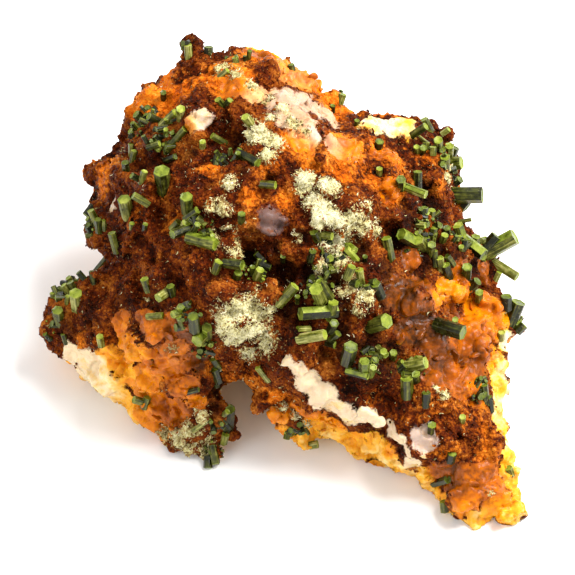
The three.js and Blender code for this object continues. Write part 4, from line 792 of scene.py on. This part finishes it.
def surface_zones(mesh):
    """Where the rock is crust, quartz, rusty, darkened by painted shade or green: from spots in front,
    guessed behind.
    """
    tree = mesh_tree(mesh)
    points = coordinates(mesh)
    facing = spread_out(mesh, normals(mesh) @ np.array(TOWARDS), FACING_PASSES)
    back = smooth_step(0.05, -0.3, facing + 0.2 * layered_noise(points, 2.4, 37))
    crust, carried, _ = spot_field(points, tree, CRUST_SPOTS, raggedness=0.35, seed=3)
    paleness = carried[:, 0]
    quartz_spots = QUARTZ_SPOTS + EDGE_QUARTZ_SPOTS
    quartz, carried, _ = spot_field(points, tree, quartz_spots, raggedness=0.3, seed=11)
    stain, haze = carried.T
    _, carried, total = spot_field(points, tree, RUST_SPOTS, raggedness=0.4, seed=29)
    rust = carried[:, 0] * total / (total + 0.25)
    hollow, carried, _ = spot_field(points, tree, DARK_SPOTS, raggedness=0.4, seed=33)
    darkness, depth = carried.T
    green = spot_field(points, tree, GREEN_SPOTS, raggedness=0.3, seed=35)[0]

    # Behind, one vein of quartz runs along the base and one slants across the upper half.
    vein = 1.15 - (points[:, 2] - 3) / 7 + 0.9 * layered_noise(points, 9, 41)
    slant = points[:, 2] - 17 + 0.2 * points[:, 0] + 3 * layered_noise(points, 7, 43)
    upper = 0.6 - np.abs(slant) / 1.8
    behind = np.maximum(vein, upper) - (1 - back) * 3
    quartz = np.maximum(quartz, behind)
    stain = stain * (1 - back) + back * np.clip(0.35 + 0.75 * layered_noise(points, 4.5, 45), 0, 1)
    rust = rust * (1 - back) + back * smooth_step(-0.3, 0.6, layered_noise(points, 7, 47))
    crust = np.maximum(crust, back * (layered_noise(points, 6, 49) - 0.42) * 4 - (1 - back) * 9)
    paleness = paleness * (1 - back) + back * 0.45
    gaps = smooth_step(0.05, 0.45, layered_noise(points, 1.3, 105))
    crust = crust - 0.35 * (1 - paleness) - (1.2 - paleness) * gaps
    return SimpleNamespace(crust=crust, paleness=paleness, quartz=quartz, stain=stain, haze=haze,
                           rust=rust, hollow=hollow, darkness=darkness, depth=depth, green=green)


def gossan_relief(points, rust, settings):
    """Heights in mm of the iron oxide's lumps, knobs and pores, lower where it is rusty."""
    lumps = cells(points, 1.9, 51)[0]
    knobs = cells(points, 0.8, 61)[0]
    pores = smooth_step(0.2, 0.6, layered_noise(points, 1.3, 71))
    pores *= smooth_step(0.1, 0.5, layered_noise(points, 0.7, 73))
    swells = 0.75 * layered_noise(points, 3.2, 50, 2)
    rough = swells + settings.lump_rise / MM * (0.55 - lumps) + settings.knob_rise / MM * (0.5 - knobs)
    rough += 0.3 * layered_noise(points, 0.8, 81) - 1.2 * pores
    return rough * (1 - 0.35 * np.clip(rust, 0, 1))


def quartz_relief(points, milky):
    """Heights in mm of amber quartz's lumps and broken faces, and of milky quartz's flatter sheets."""
    facets = 0.75 * broken_faces(points, 2.4, 91) + 0.5 * layered_noise(points, 2.2, 97)
    facets += 0.5 * layered_noise(points, 0.8, 95)
    sheet = 0.35 * layered_noise(points, 1.4, 99) + 0.5 * broken_faces(points, 2.2, 100) - 0.1
    return (1 - milky) * facets + milky * sheet


def crust_relief(points):
    """Heights in mm of the powdery crust's soft lumps, with smaller ones on them."""
    powder = 0.4 * layered_noise(points, 1.0, 101) + 0.4 * (0.6 - cells(points, 0.55, 103)[0])
    return powder + (0.9 * (0.55 - cells(points, 1.5, 107)[0]) - 0.3 * smooth_noise(points, 0.6, 109))


def weather(mesh, near_crystal, settings):
    """Gives each kind of surface its own relief, and stores which kind each vertex is."""
    zones = surface_zones(mesh)
    points = coordinates(mesh)
    outward = normals(mesh)
    is_crust = smooth_step(-0.1, 0.2, zones.crust)
    is_quartz = smooth_step(-0.15, 0.2, zones.quartz) * (1 - is_crust)
    is_gossan = 1 - np.maximum(is_crust, is_quartz)
    milky = smooth_step(0.35, 0.1, zones.stain)

    rough = gossan_relief(points, zones.rust, settings)
    glassy = quartz_relief(points, milky)
    powder = crust_relief(points)
    height = is_gossan * rough + is_quartz * glassy + is_crust * (powder + 0.2)
    # crest is painted light and shade: it makes the colours lighter on raised places and darker in low
    # ones.
    crest = 0.5 + 0.28 * (height + 0.3 * is_quartz * glassy + 0.3 * is_crust * powder)
    height -= zones.depth * smooth_step(0.0, 0.8, zones.hollow)
    height *= smooth_step(0.05, 0.8, near_crystal)
    # The underside stays flat, and what isn't part of the base stays off the floor.
    height = np.where(outward[:, 2] < -0.9, 0, height)
    places = points + outward * height[:, None]
    on_base = points[:, 2] < 0.75 * settings.voxel / MM
    places[:, 2] = np.where(on_base, 0.0, np.maximum(places[:, 2], FLOOR_GAP))
    set_coordinates(mesh, places)

    for name, values in (
        ("stain", zones.stain),
        ("haze", zones.haze),
        ("rust", zones.rust),
        ("quartz", np.clip(zones.quartz, -2, 1)),
        ("crust", np.clip(zones.crust, -2, 1)),
        ("paleness", zones.paleness * (0.3 + 0.7 * smooth_step(-0.3, 0.5, zones.crust))),
        ("gossan", is_gossan),
        ("crusty", smooth_step(-0.35, 0.35, zones.crust) * np.clip(0.25 + zones.paleness, 0, 1)),
        ("glassy", is_quartz * (1 - milky)),
        ("green", np.clip(zones.green * 2, 0, 1)),
        # crest carries painted light and shade: lighter on raised places, darker in low ones.
        ("crest", np.clip(crest, 0, 1)),
        # dark carries painted shade: near black in the hollows.
        ("dark", zones.darkness * smooth_step(-0.15, 0.55, zones.hollow)),
        ("bare", smooth_step(0.1, 0.5, near_crystal) * smooth_step(0.15, 0.6, places[:, 2])),
    ):
        set_attribute(mesh, name, values)


def thinned(mesh, faces):
    """The rock's mesh of quads with about this many triangles, fewest where it is flat."""
    thing = new_object("rock_work", mesh)
    triangles = 2 * len(mesh.polygons)
    modifier = thing.modifiers.new("thin", "DECIMATE")
    modifier.ratio = min(1.0, faces / triangles)
    return finished_mesh(thing, "rock")


class RockSettings(bpy.types.PropertyGroup):
    """Sizes and colours of the rock"""

    voxel: FloatProperty(
        name="Detail", description="Size of the rock's smallest faces", default=0.235 * MM, min=0.1 * MM,
        unit="LENGTH", precision=5)
    faces: IntProperty(
        name="Triangles", description="The most triangles that the rock may have", default=196000, min=1000)
    lump_rise: FloatProperty(
        name="Lumps", description="Height of the lumps of the iron oxide", default=0.75 * MM,
        unit="LENGTH", precision=5)
    knob_rise: FloatProperty(
        name="Knobs", description="Height of the smaller knobs on the lumps", default=0.5 * MM,
        unit="LENGTH", precision=5)
    oxide: FloatVectorProperty(
        name="Iron oxide", description="Colour of the dark gossan", subtype="COLOR", size=4, min=0, max=1,
        default=colour("#541C02"))
    ochre: FloatVectorProperty(
        name="Ochre", description="Colour of the rustiest gossan", subtype="COLOR", size=4, min=0, max=1,
        default=colour("#D0640A"))
    milky: FloatVectorProperty(
        name="Milky quartz", description="Colour of clean quartz", subtype="COLOR", size=4, min=0, max=1,
        default=colour("#E8D2AC"))
    amber: FloatVectorProperty(
        name="Amber quartz", description="Colour of iron-stained quartz", subtype="COLOR", size=4, min=0,
        max=1, default=colour("#DE8806"))


class SPECIMEN_OT_rock(bpy.types.Operator):
    """Make the rusty rock with its quartz and crust"""

    bl_idname = "specimen.rock"
    bl_label = "Rock"

    def execute(self, context):
        settings = context.scene.rock_settings
        mesh = remeshed_rock(settings.voxel / MM)
        near_crystal = close_sockets(mesh)
        weather(mesh, near_crystal, settings)
        mesh = thinned(mesh, settings.faces)
        mesh.shade_smooth()
        mesh.materials.append(shared(rock_material))
        declare(new_object("rock", mesh), "gossan_matrix", "matrix")
        return {"FINISHED"}


# Grains, flakes and small crystals spread over the rock

def chunk_mesh(name, corners, squash, seed):
    """An angular grain about 1 across: the hull of a few random corners."""
    random = np.random.default_rng(seed)
    places = random.normal(size=(corners, 3))
    places /= 2 * np.linalg.norm(places, axis=1)[:, None]
    places[:, 2] *= squash
    work = bmesh.new()
    for place in places:
        work.verts.new(place)
    hull = bmesh.ops.convex_hull(work, input=work.verts)
    bmesh.ops.delete(work, geom=hull["geom_interior"], context="VERTS")
    bmesh.ops.recalc_face_normals(work, faces=work.faces)
    return mesh_of(work, name)


def rounded_chunk(name, corners, squash, seed):
    """An angular grain with eased edges."""
    mesh = chunk_mesh(name, corners, squash, seed)
    work = bmesh.new()
    work.from_mesh(mesh)
    bmesh.ops.dissolve_limit(work, angle_limit=math.radians(12), verts=work.verts, edges=work.edges)
    bmesh.ops.bevel(work, geom=work.edges[:], offset=0.05, segments=1, affect="EDGES", clamp_overlap=True)
    work.to_mesh(mesh)
    work.free()
    return mesh


def curl_mesh(name, curl, seed):
    """A thin fibre about 1 long that turns through the angle curl."""
    random = np.random.default_rng(seed)
    wave = random.uniform(-1, 1, 2)
    work = bmesh.new()
    rings = []
    for i in range(6):
        t = i / 5
        angle = curl * (t - 0.5)
        sideways = wave[0] * 0.12 * math.sin(t * 5)
        middle = Vector((math.sin(angle) / curl, sideways, (1 - math.cos(angle)) / curl))
        middle.z += 0.25 * t * t * wave[1]
        width = 0.095 * (1 - 0.7 * abs(2 * t - 1) ** 2)
        ring = [work.verts.new(middle + Vector((0, width * math.cos(a), width * math.sin(a))))
                for a in (0, 2 * math.pi / 3, 4 * math.pi / 3)]
        if rings:
            last = rings[-1]
            for k in range(3):
                work.faces.new((last[k], last[k - 2], ring[k - 2], ring[k]))
        rings.append(ring)
    work.faces.new(rings[0])
    work.faces.new(rings[-1])
    bmesh.ops.recalc_face_normals(work, faces=work.faces)
    return mesh_of(work, name)


def shapes_collection(name, meshes):
    """A collection of the shapes that a scatter picks from. It isn't part of the scene."""
    collection = bpy.data.collections.new(name)
    for mesh in meshes:
        collection.objects.link(bpy.data.objects.new(mesh.name, mesh))
    return collection


def scatter_tree():
    """The node tree that spreads shapes over a surface."""
    tree = bpy.data.node_groups.new("scatter", "GeometryNodeTree")
    tree.is_modifier = True
    for name, kind in (
        ("Surface", "Geometry"), ("Crowding", "Float"), ("Where", "String"), ("Smallest", "Float"),
        ("Largest", "Float"), ("Tilt", "Float"), ("Sink", "Float"), ("Seed", "Int"),
        ("Shapes", "Collection"), ("Material", "Material"),
    ):
        tree.interface.new_socket(name, in_out="INPUT", socket_type=f"NodeSocket{kind}")
    tree.interface.new_socket("Pieces", in_out="OUTPUT", socket_type="NodeSocketGeometry")
    given = add_node(tree, "NodeGroupInput").node.outputs
    field = add_node(tree, "GeometryNodeInputNamedAttribute", {"Name": given["Where"]}, "Attribute")
    bare = add_node(tree, "GeometryNodeInputNamedAttribute", {"Name": "bare"}, "Attribute")
    allowed = add_node(tree, "ShaderNodeMath", {0: field, 1: bare}, operation="MULTIPLY")
    crowding = add_node(tree, "ShaderNodeMath", {0: allowed, 1: given["Crowding"]}, operation="MULTIPLY")
    points = add_node(tree, "GeometryNodeDistributePointsOnFaces",
                      {"Mesh": given["Surface"], "Density": crowding, "Seed": given["Seed"]},
                      distribute_method="RANDOM")
    tone = add_node(tree, "FunctionNodeRandomValue", {"Seed": given["Seed"]}, 1, data_type="FLOAT")
    toned = add_node(tree, "GeometryNodeStoreNamedAttribute",
                     {"Geometry": points, "Value": tone, "Name": "tone"}, data_type="FLOAT", domain="POINT")
    turn_seed = add_node(tree, "ShaderNodeMath", {0: given["Seed"], 1: 7}, operation="ADD")
    lean = add_node(tree, "ShaderNodeMath", {0: given["Tilt"], 1: -1}, operation="MULTIPLY")
    low = add_node(tree, "ShaderNodeCombineXYZ", {"X": lean, "Y": lean})
    high = add_node(tree, "ShaderNodeCombineXYZ",
                    {"X": given["Tilt"], "Y": given["Tilt"], "Z": 2 * math.pi})
    turn = add_node(tree, "FunctionNodeRandomValue", {"Min": low, "Max": high, "Seed": turn_seed},
                    data_type="FLOAT_VECTOR")
    rotation = add_node(tree, "FunctionNodeRotateRotation",
                        {"Rotation": points.node.outputs["Rotation"], "Rotate By": turn},
                        rotation_space="LOCAL")
    draw = add_node(tree, "FunctionNodeRandomValue", {"Seed": turn_seed}, 1, data_type="FLOAT")
    skewed = add_node(tree, "ShaderNodeMath", {0: draw, 1: 2.2}, operation="POWER")
    size_range = add_node(tree, "ShaderNodeMath", {0: given["Largest"], 1: given["Smallest"]},
                          operation="SUBTRACT")
    size = add_node(tree, "ShaderNodeMath", {0: skewed, 1: size_range, 2: given["Smallest"]},
                    operation="MULTIPLY_ADD")
    shapes = add_node(tree, "GeometryNodeCollectionInfo",
                      {"Collection": given["Shapes"], "Separate Children": True, "Reset Children": True})
    placed = add_node(tree, "GeometryNodeInstanceOnPoints",
                      {"Points": toned, "Instance": shapes, "Rotation": rotation, "Scale": size,
                       "Pick Instance": True})
    depth = add_node(tree, "ShaderNodeMath", {0: given["Sink"], 1: -1}, operation="MULTIPLY")
    inward = add_node(tree, "ShaderNodeCombineXYZ", {"Z": depth})
    sunk = add_node(tree, "GeometryNodeTranslateInstances",
                    {"Instances": placed, "Translation": inward, "Local Space": True})
    real = add_node(tree, "GeometryNodeRealizeInstances", {"Geometry": sunk})
    dressed = add_node(tree, "GeometryNodeSetMaterial", {"Geometry": real, "Material": given["Material"]})
    add_node(tree, "NodeGroupOutput", {"Pieces": dressed})
    return tree


def scatter(name, slot, make_material, meshes, **inputs):
    """Spreads shapes over the rock and makes one plain piece of them. The inputs are the tree's."""
    tree = shared(scatter_tree)
    thing = new_object(name, bpy.data.objects["rock"].data)
    modifier = thing.modifiers.new("scatter", "NODES")
    modifier.node_group = tree
    inputs["Shapes"] = shapes_collection(f"{name}_shapes", meshes)
    inputs["Material"] = shared(make_material)
    for item in tree.interface.items_tree:
        if item.in_out == "INPUT" and item.name in inputs:
            modifier[item.identifier] = inputs[item.name]
    declare(new_object(name, finished_mesh(thing, name)), slot)


class GrainSettings(bpy.types.PropertyGroup):
    """Number and size of the gossan grains"""

    crowding: FloatProperty(
        name="Grains", description="Gossan grains on each square mm", default=3.2, min=0.0)
    largest: FloatProperty(
        name="Largest", description="Size of the largest grains", default=0.65 * MM,
        unit="LENGTH", precision=5)


class SPECIMEN_OT_grains(bpy.types.Operator):
    """Spread glinting grains over the gossan"""

    bl_idname = "specimen.grains"
    bl_label = "Gossan grains"

    def execute(self, context):
        settings = context.scene.grain_settings
        meshes = [chunk_mesh(f"grain_{seed}", corners=7, squash=0.8, seed=seed) for seed in range(5)]
        scatter("gossan_grains", "gossan_matrix", grain_material, meshes, Where="gossan", Tilt=0.9, Seed=3,
                Crowding=settings.crowding / MM**2, Smallest=0.12 * MM, Largest=settings.largest,
                Sink=0.02 * MM)
        return {"FINISHED"}


class CrustSettings(bpy.types.PropertyGroup):
    """Numbers, size and colour of the crust's flakes and fibres"""

    crowding: FloatProperty(
        name="Flakes", description="Crust flakes on each square mm", default=18.0, min=0.0)
    fibres: FloatProperty(
        name="Fibres", description="Curled fibres on each square mm", default=15.0, min=0.0)
    strays: FloatProperty(
        name="Stray fibres", description="Fibres on each square mm of gossan", default=0.5, min=0.0)
    largest: FloatProperty(
        name="Largest", description="Size of the largest flakes", default=0.32 * MM,
        unit="LENGTH", precision=5)
    cream: FloatVectorProperty(
        name="Cream", description="Colour of the pale crust", subtype="COLOR", size=4, min=0, max=1,
        default=colour("#D8D096"))


class SPECIMEN_OT_crust(bpy.types.Operator):
    """Spread flakes and curled fibres over the crust"""

    bl_idname = "specimen.crust"
    bl_label = "Crust flakes"

    def execute(self, context):
        settings = context.scene.crust_settings
        meshes = [chunk_mesh(f"flake_{k}", corners=8, squash=0.45, seed=20 + k) for k in range(5)]
        scatter("crust_flakes", "gossan_matrix", flake_material, meshes, Where="crusty", Tilt=1.2, Seed=5,
                Crowding=settings.crowding / MM**2, Smallest=0.12 * MM, Largest=settings.largest,
                Sink=-0.02 * MM)
        curls = [curl_mesh(f"curl_{k}", curl=2.2 + k % 3, seed=30 + k) for k in range(5)]
        scatter("crust_fibres", "gossan_matrix", flake_material, curls, Where="crusty", Tilt=0.9, Seed=8,
                Crowding=settings.fibres / MM**2, Smallest=0.28 * MM, Largest=0.75 * MM,
                Sink=-0.02 * MM)
        scatter("stray_fibres", "gossan_matrix", flake_material, curls, Where="gossan", Tilt=0.9, Seed=9,
                Crowding=settings.strays / MM**2, Smallest=0.25 * MM, Largest=0.7 * MM,
                Sink=-0.04 * MM)
        return {"FINISHED"}


class QuartzSettings(bpy.types.PropertyGroup):
    """Number and size of the quartz grains"""

    crowding: FloatProperty(
        name="Grains", description="Quartz grains on each square mm", default=0.14, min=0.0)
    largest: FloatProperty(
        name="Largest", description="Size of the largest grains", default=1.8 * MM,
        unit="LENGTH", precision=5)


class SPECIMEN_OT_quartz(bpy.types.Operator):
    """Spread amber quartz grains over the stained quartz"""

    bl_idname = "specimen.quartz"
    bl_label = "Quartz grains"

    def execute(self, context):
        settings = context.scene.quartz_settings
        meshes = [rounded_chunk(f"quartz_{k}", corners=9, squash=0.8, seed=50 + k) for k in range(5)]
        scatter("quartz_grains", "gossan_matrix", amber_material, meshes, Where="glassy", Tilt=0.8,
                Seed=12, Crowding=settings.crowding / MM**2, Smallest=0.5 * MM, Largest=settings.largest,
                Sink=0.22 * MM)
        return {"FINISHED"}


# The crystals

def face_directions(mesh):
    """The distinct directions of a mesh's faces."""
    directions = []
    for polygon in mesh.polygons:
        if all((polygon.normal - known).length > 0.02 for known in directions):
            directions.append(polygon.normal.copy())
    return directions


def prism_axes(directions):
    """The directions round which at least four faces stand at multiples of 60 degrees."""
    axes = []
    for axis in directions:
        if any(abs(axis.dot(known)) > 0.999 for known in axes):
            continue
        sides = [d for d in directions if abs(d.dot(axis)) < 0.01]
        for first in sides:
            turned = [d for d in sides if abs(math.sin(3 * first.angle(d, 0))) < 0.03]
            if len(turned) >= 4:
                axes.append(axis)
                break
    return axes


def mark_crystal(mesh, axes, index):
    """Stores which faces are ends, and each prism's own coordinates for its lines and tone, 0 to 0.9."""
    local = mesh.attributes.new("local", "FLOAT_VECTOR", "CORNER")
    end = mesh.attributes.new("end", "FLOAT", "FACE")
    tone = mesh.attributes.new("tone", "FLOAT", "FACE")
    for polygon in mesh.polygons:
        axis = max(axes, key=lambda a: abs(polygon.normal.dot(a)))
        is_end = abs(polygon.normal.dot(axis)) > 0.55
        if not is_end:
            axis = min(axes, key=lambda a: abs(polygon.normal.dot(a)))
        turn = Vector((0, 0, 1)).rotation_difference(axis).to_matrix().inverted()
        for corner in polygon.loop_indices:
            place = mesh.vertices[mesh.loops[corner].vertex_index].co
            local.data[corner].vector = turn @ place
        end.data[polygon.index].value = float(is_end)
        tone.data[polygon.index].value = ((index * 37 + axes.index(axis) * 17) % 10) / 10


def ease_crystal(work, axes, bevel, inset):
    """Hollows the flat ends of prisms and eases their edges."""
    ends = [f for f in work.faces if any(abs(f.normal.dot(axis)) > 0.99 for axis in axes)]
    bmesh.ops.inset_individual(work, faces=ends, thickness=inset, depth=0)
    bmesh.ops.inset_individual(work, faces=ends, thickness=inset * HOLLOW_SLOPE,
                               depth=-inset * HOLLOW_DEPTH)
    edges = [e for e in work.edges if e.is_manifold and e.calc_face_angle() > SHARP_EDGE]
    bmesh.ops.bevel(work, geom=edges, offset=bevel, segments=1, affect="EDGES", clamp_overlap=True)


def dressed_crystal(node, index, settings):
    """A CAD crystal with hollowed ends, eased edges, and its pattern's own coordinates."""
    mesh = merged_copy(node, node)
    axes = prism_axes(face_directions(mesh)) or [Vector((0, 0, 1))]
    work = bmesh.new()
    work.from_mesh(mesh)
    bmesh.ops.dissolve_limit(work, angle_limit=math.radians(1), verts=work.verts, edges=work.edges)
    ease_crystal(work, axes, settings.bevel, settings.inset)
    work.to_mesh(mesh)
    work.free()
    mark_crystal(mesh, axes, index)
    mesh.materials.append(shared(pyromorphite_material))
    return mesh


def prism_mesh(name, root, tip, radius, roll, settings, index):
    """A six-sided prism from root to tip, in millimetres, slightly uneven."""
    axis = (tip - root).normalized()
    across = axis.orthogonal().normalized()
    work = bmesh.new()
    rings = []
    for middle in (root, tip):
        ring = []
        for k in range(6):
            turned = Matrix.Rotation(roll + k * math.pi / 3, 3, axis) @ across
            uneven = 1 + 0.05 * math.sin(index * 5 + k * 2.3)
            ring.append(work.verts.new((middle + turned * radius * uneven) * MM))
        rings.append(ring)
    for k in range(6):
        work.faces.new((rings[0][k - 1], rings[0][k], rings[1][k], rings[1][k - 1]))
    work.faces.new(rings[0])
    work.faces.new(rings[1])
    bmesh.ops.recalc_face_normals(work, faces=work.faces)
    work.normal_update()
    ease_crystal(work, [axis], settings.bevel * 0.8, settings.inset * 0.8)
    mesh = mesh_of(work, name)
    mark_crystal(mesh, [axis], index)
    return mesh


def joined_mesh(name, meshes):
    """One mesh of several."""
    work = bmesh.new()
    for mesh in meshes:
        work.from_mesh(mesh)
        bpy.data.meshes.remove(mesh)
    return mesh_of(work, name)


def foot_depth(tree, u, v):
    """The depth of the surface nearest to a place of the drawing plane that the surface doesn't reach."""
    middle = Vector((PICTURE_SIZE / 2, PICTURE_SIZE / 2))
    place = Vector((u, v))
    for step in range(1, 40):
        nearer = place.lerp(middle, step / 40)
        hit = surface_at(tree, nearer.x, nearer.y)
        if hit is not None:
            return depth_of(hit)
    return 0.0


def small_crystal(tree, index, place, settings):
    """A small crystal at its place of the table, rooted in the rock and never lying inside it."""
    u, v, tip_u, tip_v, thickness, rise = place
    foot = surface_at(tree, u, v)
    if foot is None:
        foot = tree.find_nearest(on_plane(u, v, foot_depth(tree, u, v)))[0]
    tip_depth = depth_of(foot) + rise
    below_tip = surface_at(tree, tip_u, tip_v)
    if below_tip is not None:
        tip_depth = max(tip_depth, depth_of(below_tip) + 0.3 * thickness)
    tip = on_plane(tip_u, tip_v, tip_depth)
    root = foot - (tip - foot).normalized() * SUNK_ROOT
    return prism_mesh(f"prism_{index}", root, tip, RADIUS_SHARE * thickness, index * GOLDEN_ANGLE,
                      settings, index)


class CrystalSettings(bpy.types.PropertyGroup):
    """Edges, ends and colours of the crystals"""

    bevel: FloatProperty(
        name="Edge", description="Width of the eased edges", default=0.035 * MM, unit="LENGTH", precision=5)
    inset: FloatProperty(
        name="End rim", description="Width of the rim round a hollowed end", default=0.09 * MM,
        unit="LENGTH", precision=5)
    side: FloatVectorProperty(
        name="Sides", description="Colour of the prisms' sides", subtype="COLOR", size=4, min=0, max=1,
        default=colour("#4E5012"))
    end: FloatVectorProperty(
        name="Ends", description="Colour of the prisms' ends", subtype="COLOR", size=4, min=0, max=1,
        default=colour("#848E28"))


class SPECIMEN_OT_crystals(bpy.types.Operator):
    """Dress the crystals that are pieces of their own"""

    bl_idname = "specimen.crystals"
    bl_label = "Pyromorphite prisms"

    def execute(self, context):
        settings = context.scene.crystal_settings
        for index, node in enumerate(crystal_nodes()):
            mesh = dressed_crystal(node, index, settings)
            declare(new_object(f"{node}_crystal", mesh), "pyromorphite", node)
        return {"FINISHED"}


class SmallSettings(bpy.types.PropertyGroup):
    """Number and size of the tiny crystals"""

    crowding: FloatProperty(
        name="Tiny crystals", description="Tiny crystals on each square mm", default=4.2, min=0.0)
    largest: FloatProperty(
        name="Largest", description="Size of the largest tiny crystals", default=1.1 * MM, unit="LENGTH",
        precision=5)


class SPECIMEN_OT_small_crystals(bpy.types.Operator):
    """Set the small crystals on the rock"""

    bl_idname = "specimen.small_crystals"
    bl_label = "Small pyromorphite prisms"

    def execute(self, context):
        settings = context.scene.crystal_settings
        tree = mesh_tree(bpy.data.objects["rock"].data)
        meshes = [small_crystal(tree, index, place, settings) for index, place in enumerate(SMALL_CRYSTALS)]
        mesh = joined_mesh("small_crystals", meshes)
        mesh.materials.append(shared(pyromorphite_material))
        declare(new_object("small_crystals", mesh), "pyromorphite")

        small = context.scene.small_settings
        shapes = []
        for k, (length, radius) in enumerate(TINY_SHAPES):
            root = Vector((0, 0, TINY_ROOT))
            tip = Vector((0, 0, length))
            shape = prism_mesh(f"tiny_{k}", root, tip, radius, 0, settings, k)
            for vertex in shape.vertices:
                vertex.co /= MM
            shapes.append(shape)
        scatter("tiny_crystals", "pyromorphite", pyromorphite_material, shapes, Where="green", Tilt=0.8,
                Seed=21, Crowding=small.crowding / MM**2, Smallest=0.25 * MM, Largest=small.largest,
                Sink=0.0)
        return {"FINISHED"}


# Floor, lights and camera

class StageSettings(bpy.types.PropertyGroup):
    """The camera's lens, the light and the floor"""

    lens: FloatProperty(name="Lens", description="Focal length of the camera in mm", default=250.0)
    key_power: FloatProperty(
        name="Main light", description="Power of the main light", default=2.2, unit="POWER")
    fill_power: FloatProperty(
        name="Side light", description="Power of the side light", default=0.4, unit="POWER")
    sky: FloatProperty(
        name="Sky", description="Strength of the even white light from all sides", default=0.82, min=0.0)
    floor: FloatProperty(
        name="Floor", description="Width of the square floor", default=3.0, unit="LENGTH")
    paper: FloatVectorProperty(
        name="Paper", description="Colour of the floor", subtype="COLOR", size=4, min=0, max=1,
        default=colour("#F7F7F6"))


def area_light(name, place, width, power):
    """A soft square light that faces the specimen."""
    data = bpy.data.lights.new(name, "AREA")
    data.energy = power
    data.size = width
    lamp = new_object(name, data)
    lamp.location = place
    lamp.rotation_euler = (-Vector(place)).to_track_quat("-Z", "Y").to_euler()


class SPECIMEN_OT_stage(bpy.types.Operator):
    """Add the pale floor, the soft lights and the camera"""

    bl_idname = "specimen.stage"
    bl_label = "Stage"

    def execute(self, context):
        settings = context.scene.stage_settings
        half = settings.floor / 2
        mesh = bpy.data.meshes.new("paper_floor")
        corners = ((-half, -half), (half, -half), (half, half), (-half, half))
        mesh.from_pydata([(x, y, -FLOOR_DROP * MM) for x, y in corners], [], [(0, 1, 2, 3)])
        mesh.materials.append(floor_material())
        new_object("paper_floor", mesh)
        area_light("window_light", WINDOW_PLACE, WINDOW_WIDTH, settings.key_power)
        area_light("side_light", SIDE_PLACE, SIDE_WIDTH, settings.fill_power)
        world = bpy.data.worlds.new("studio")
        world.use_nodes = True
        set_inputs(world.node_tree, world.node_tree.nodes["Background"],
                   {"Color": "#FFFFFF", "Strength": settings.sky})
        context.scene.world = world

        camera = bpy.data.cameras.new("camera")
        camera.lens = settings.lens
        camera.sensor_width = SENSOR_WIDTH
        camera.clip_start = NEAREST_SEEN
        eye = new_object("camera", camera)
        target = on_plane(PICTURE_SIZE / 2, PICTURE_SIZE / 2, TARGET_DEPTH) * MM
        distance = PICTURE_SIZE * MM * settings.lens / camera.sensor_width
        eye.location = target + TOWARDS * distance
        eye.rotation_euler = (math.pi / 2 - VIEW_ANGLE, 0, 0)
        context.scene.camera = eye
        context.scene.view_settings.view_transform = "Standard"
        return {"FINISHED"}


class SPECIMEN_PT_panel(bpy.types.Panel):
    """Lists the specimen's pieces and their settings"""

    bl_label = "Pyromorphite specimen"
    bl_idname = "SPECIMEN_PT_panel"
    bl_space_type = "VIEW_3D"
    bl_region_type = "UI"
    bl_category = "Specimen"

    def draw(self, context):
        for operator, (group, kind) in PIECES.items():
            box = self.layout.box()
            box.operator(operator)
            settings = getattr(context.scene, group)
            for name in kind.__annotations__:
                box.prop(settings, name)


# Each operator with its settings.
PIECES = {
    "specimen.stage": ("stage_settings", StageSettings),
    "specimen.rock": ("rock_settings", RockSettings),
    "specimen.grains": ("grain_settings", GrainSettings),
    "specimen.crust": ("crust_settings", CrustSettings),
    "specimen.quartz": ("quartz_settings", QuartzSettings),
    "specimen.crystals": ("crystal_settings", CrystalSettings),
    "specimen.small_crystals": ("small_settings", SmallSettings),
}
CLASSES = (
    *(kind for _, kind in PIECES.values()),
    SPECIMEN_OT_stage, SPECIMEN_OT_rock, SPECIMEN_OT_grains, SPECIMEN_OT_crust, SPECIMEN_OT_quartz,
    SPECIMEN_OT_crystals, SPECIMEN_OT_small_crystals, SPECIMEN_PT_panel,
)


def register():
    """Makes the classes known, with their settings on the scene."""
    for item in CLASSES:
        bpy.utils.register_class(item)
    for name, group in PIECES.values():
        setattr(bpy.types.Scene, name, PointerProperty(type=group))


def unregister():
    """Takes the settings and the classes away again."""
    for name, _ in PIECES.values():
        delattr(bpy.types.Scene, name)
    for item in reversed(CLASSES):
        bpy.utils.unregister_class(item)


def main():
    """Makes every piece."""
    register()
    bpy.ops.specimen.stage()
    bpy.ops.specimen.rock()
    bpy.ops.specimen.grains()
    bpy.ops.specimen.crust()
    bpy.ops.specimen.quartz()
    bpy.ops.specimen.crystals()
    bpy.ops.specimen.small_crystals()


if __name__ == "__main__":
    main()
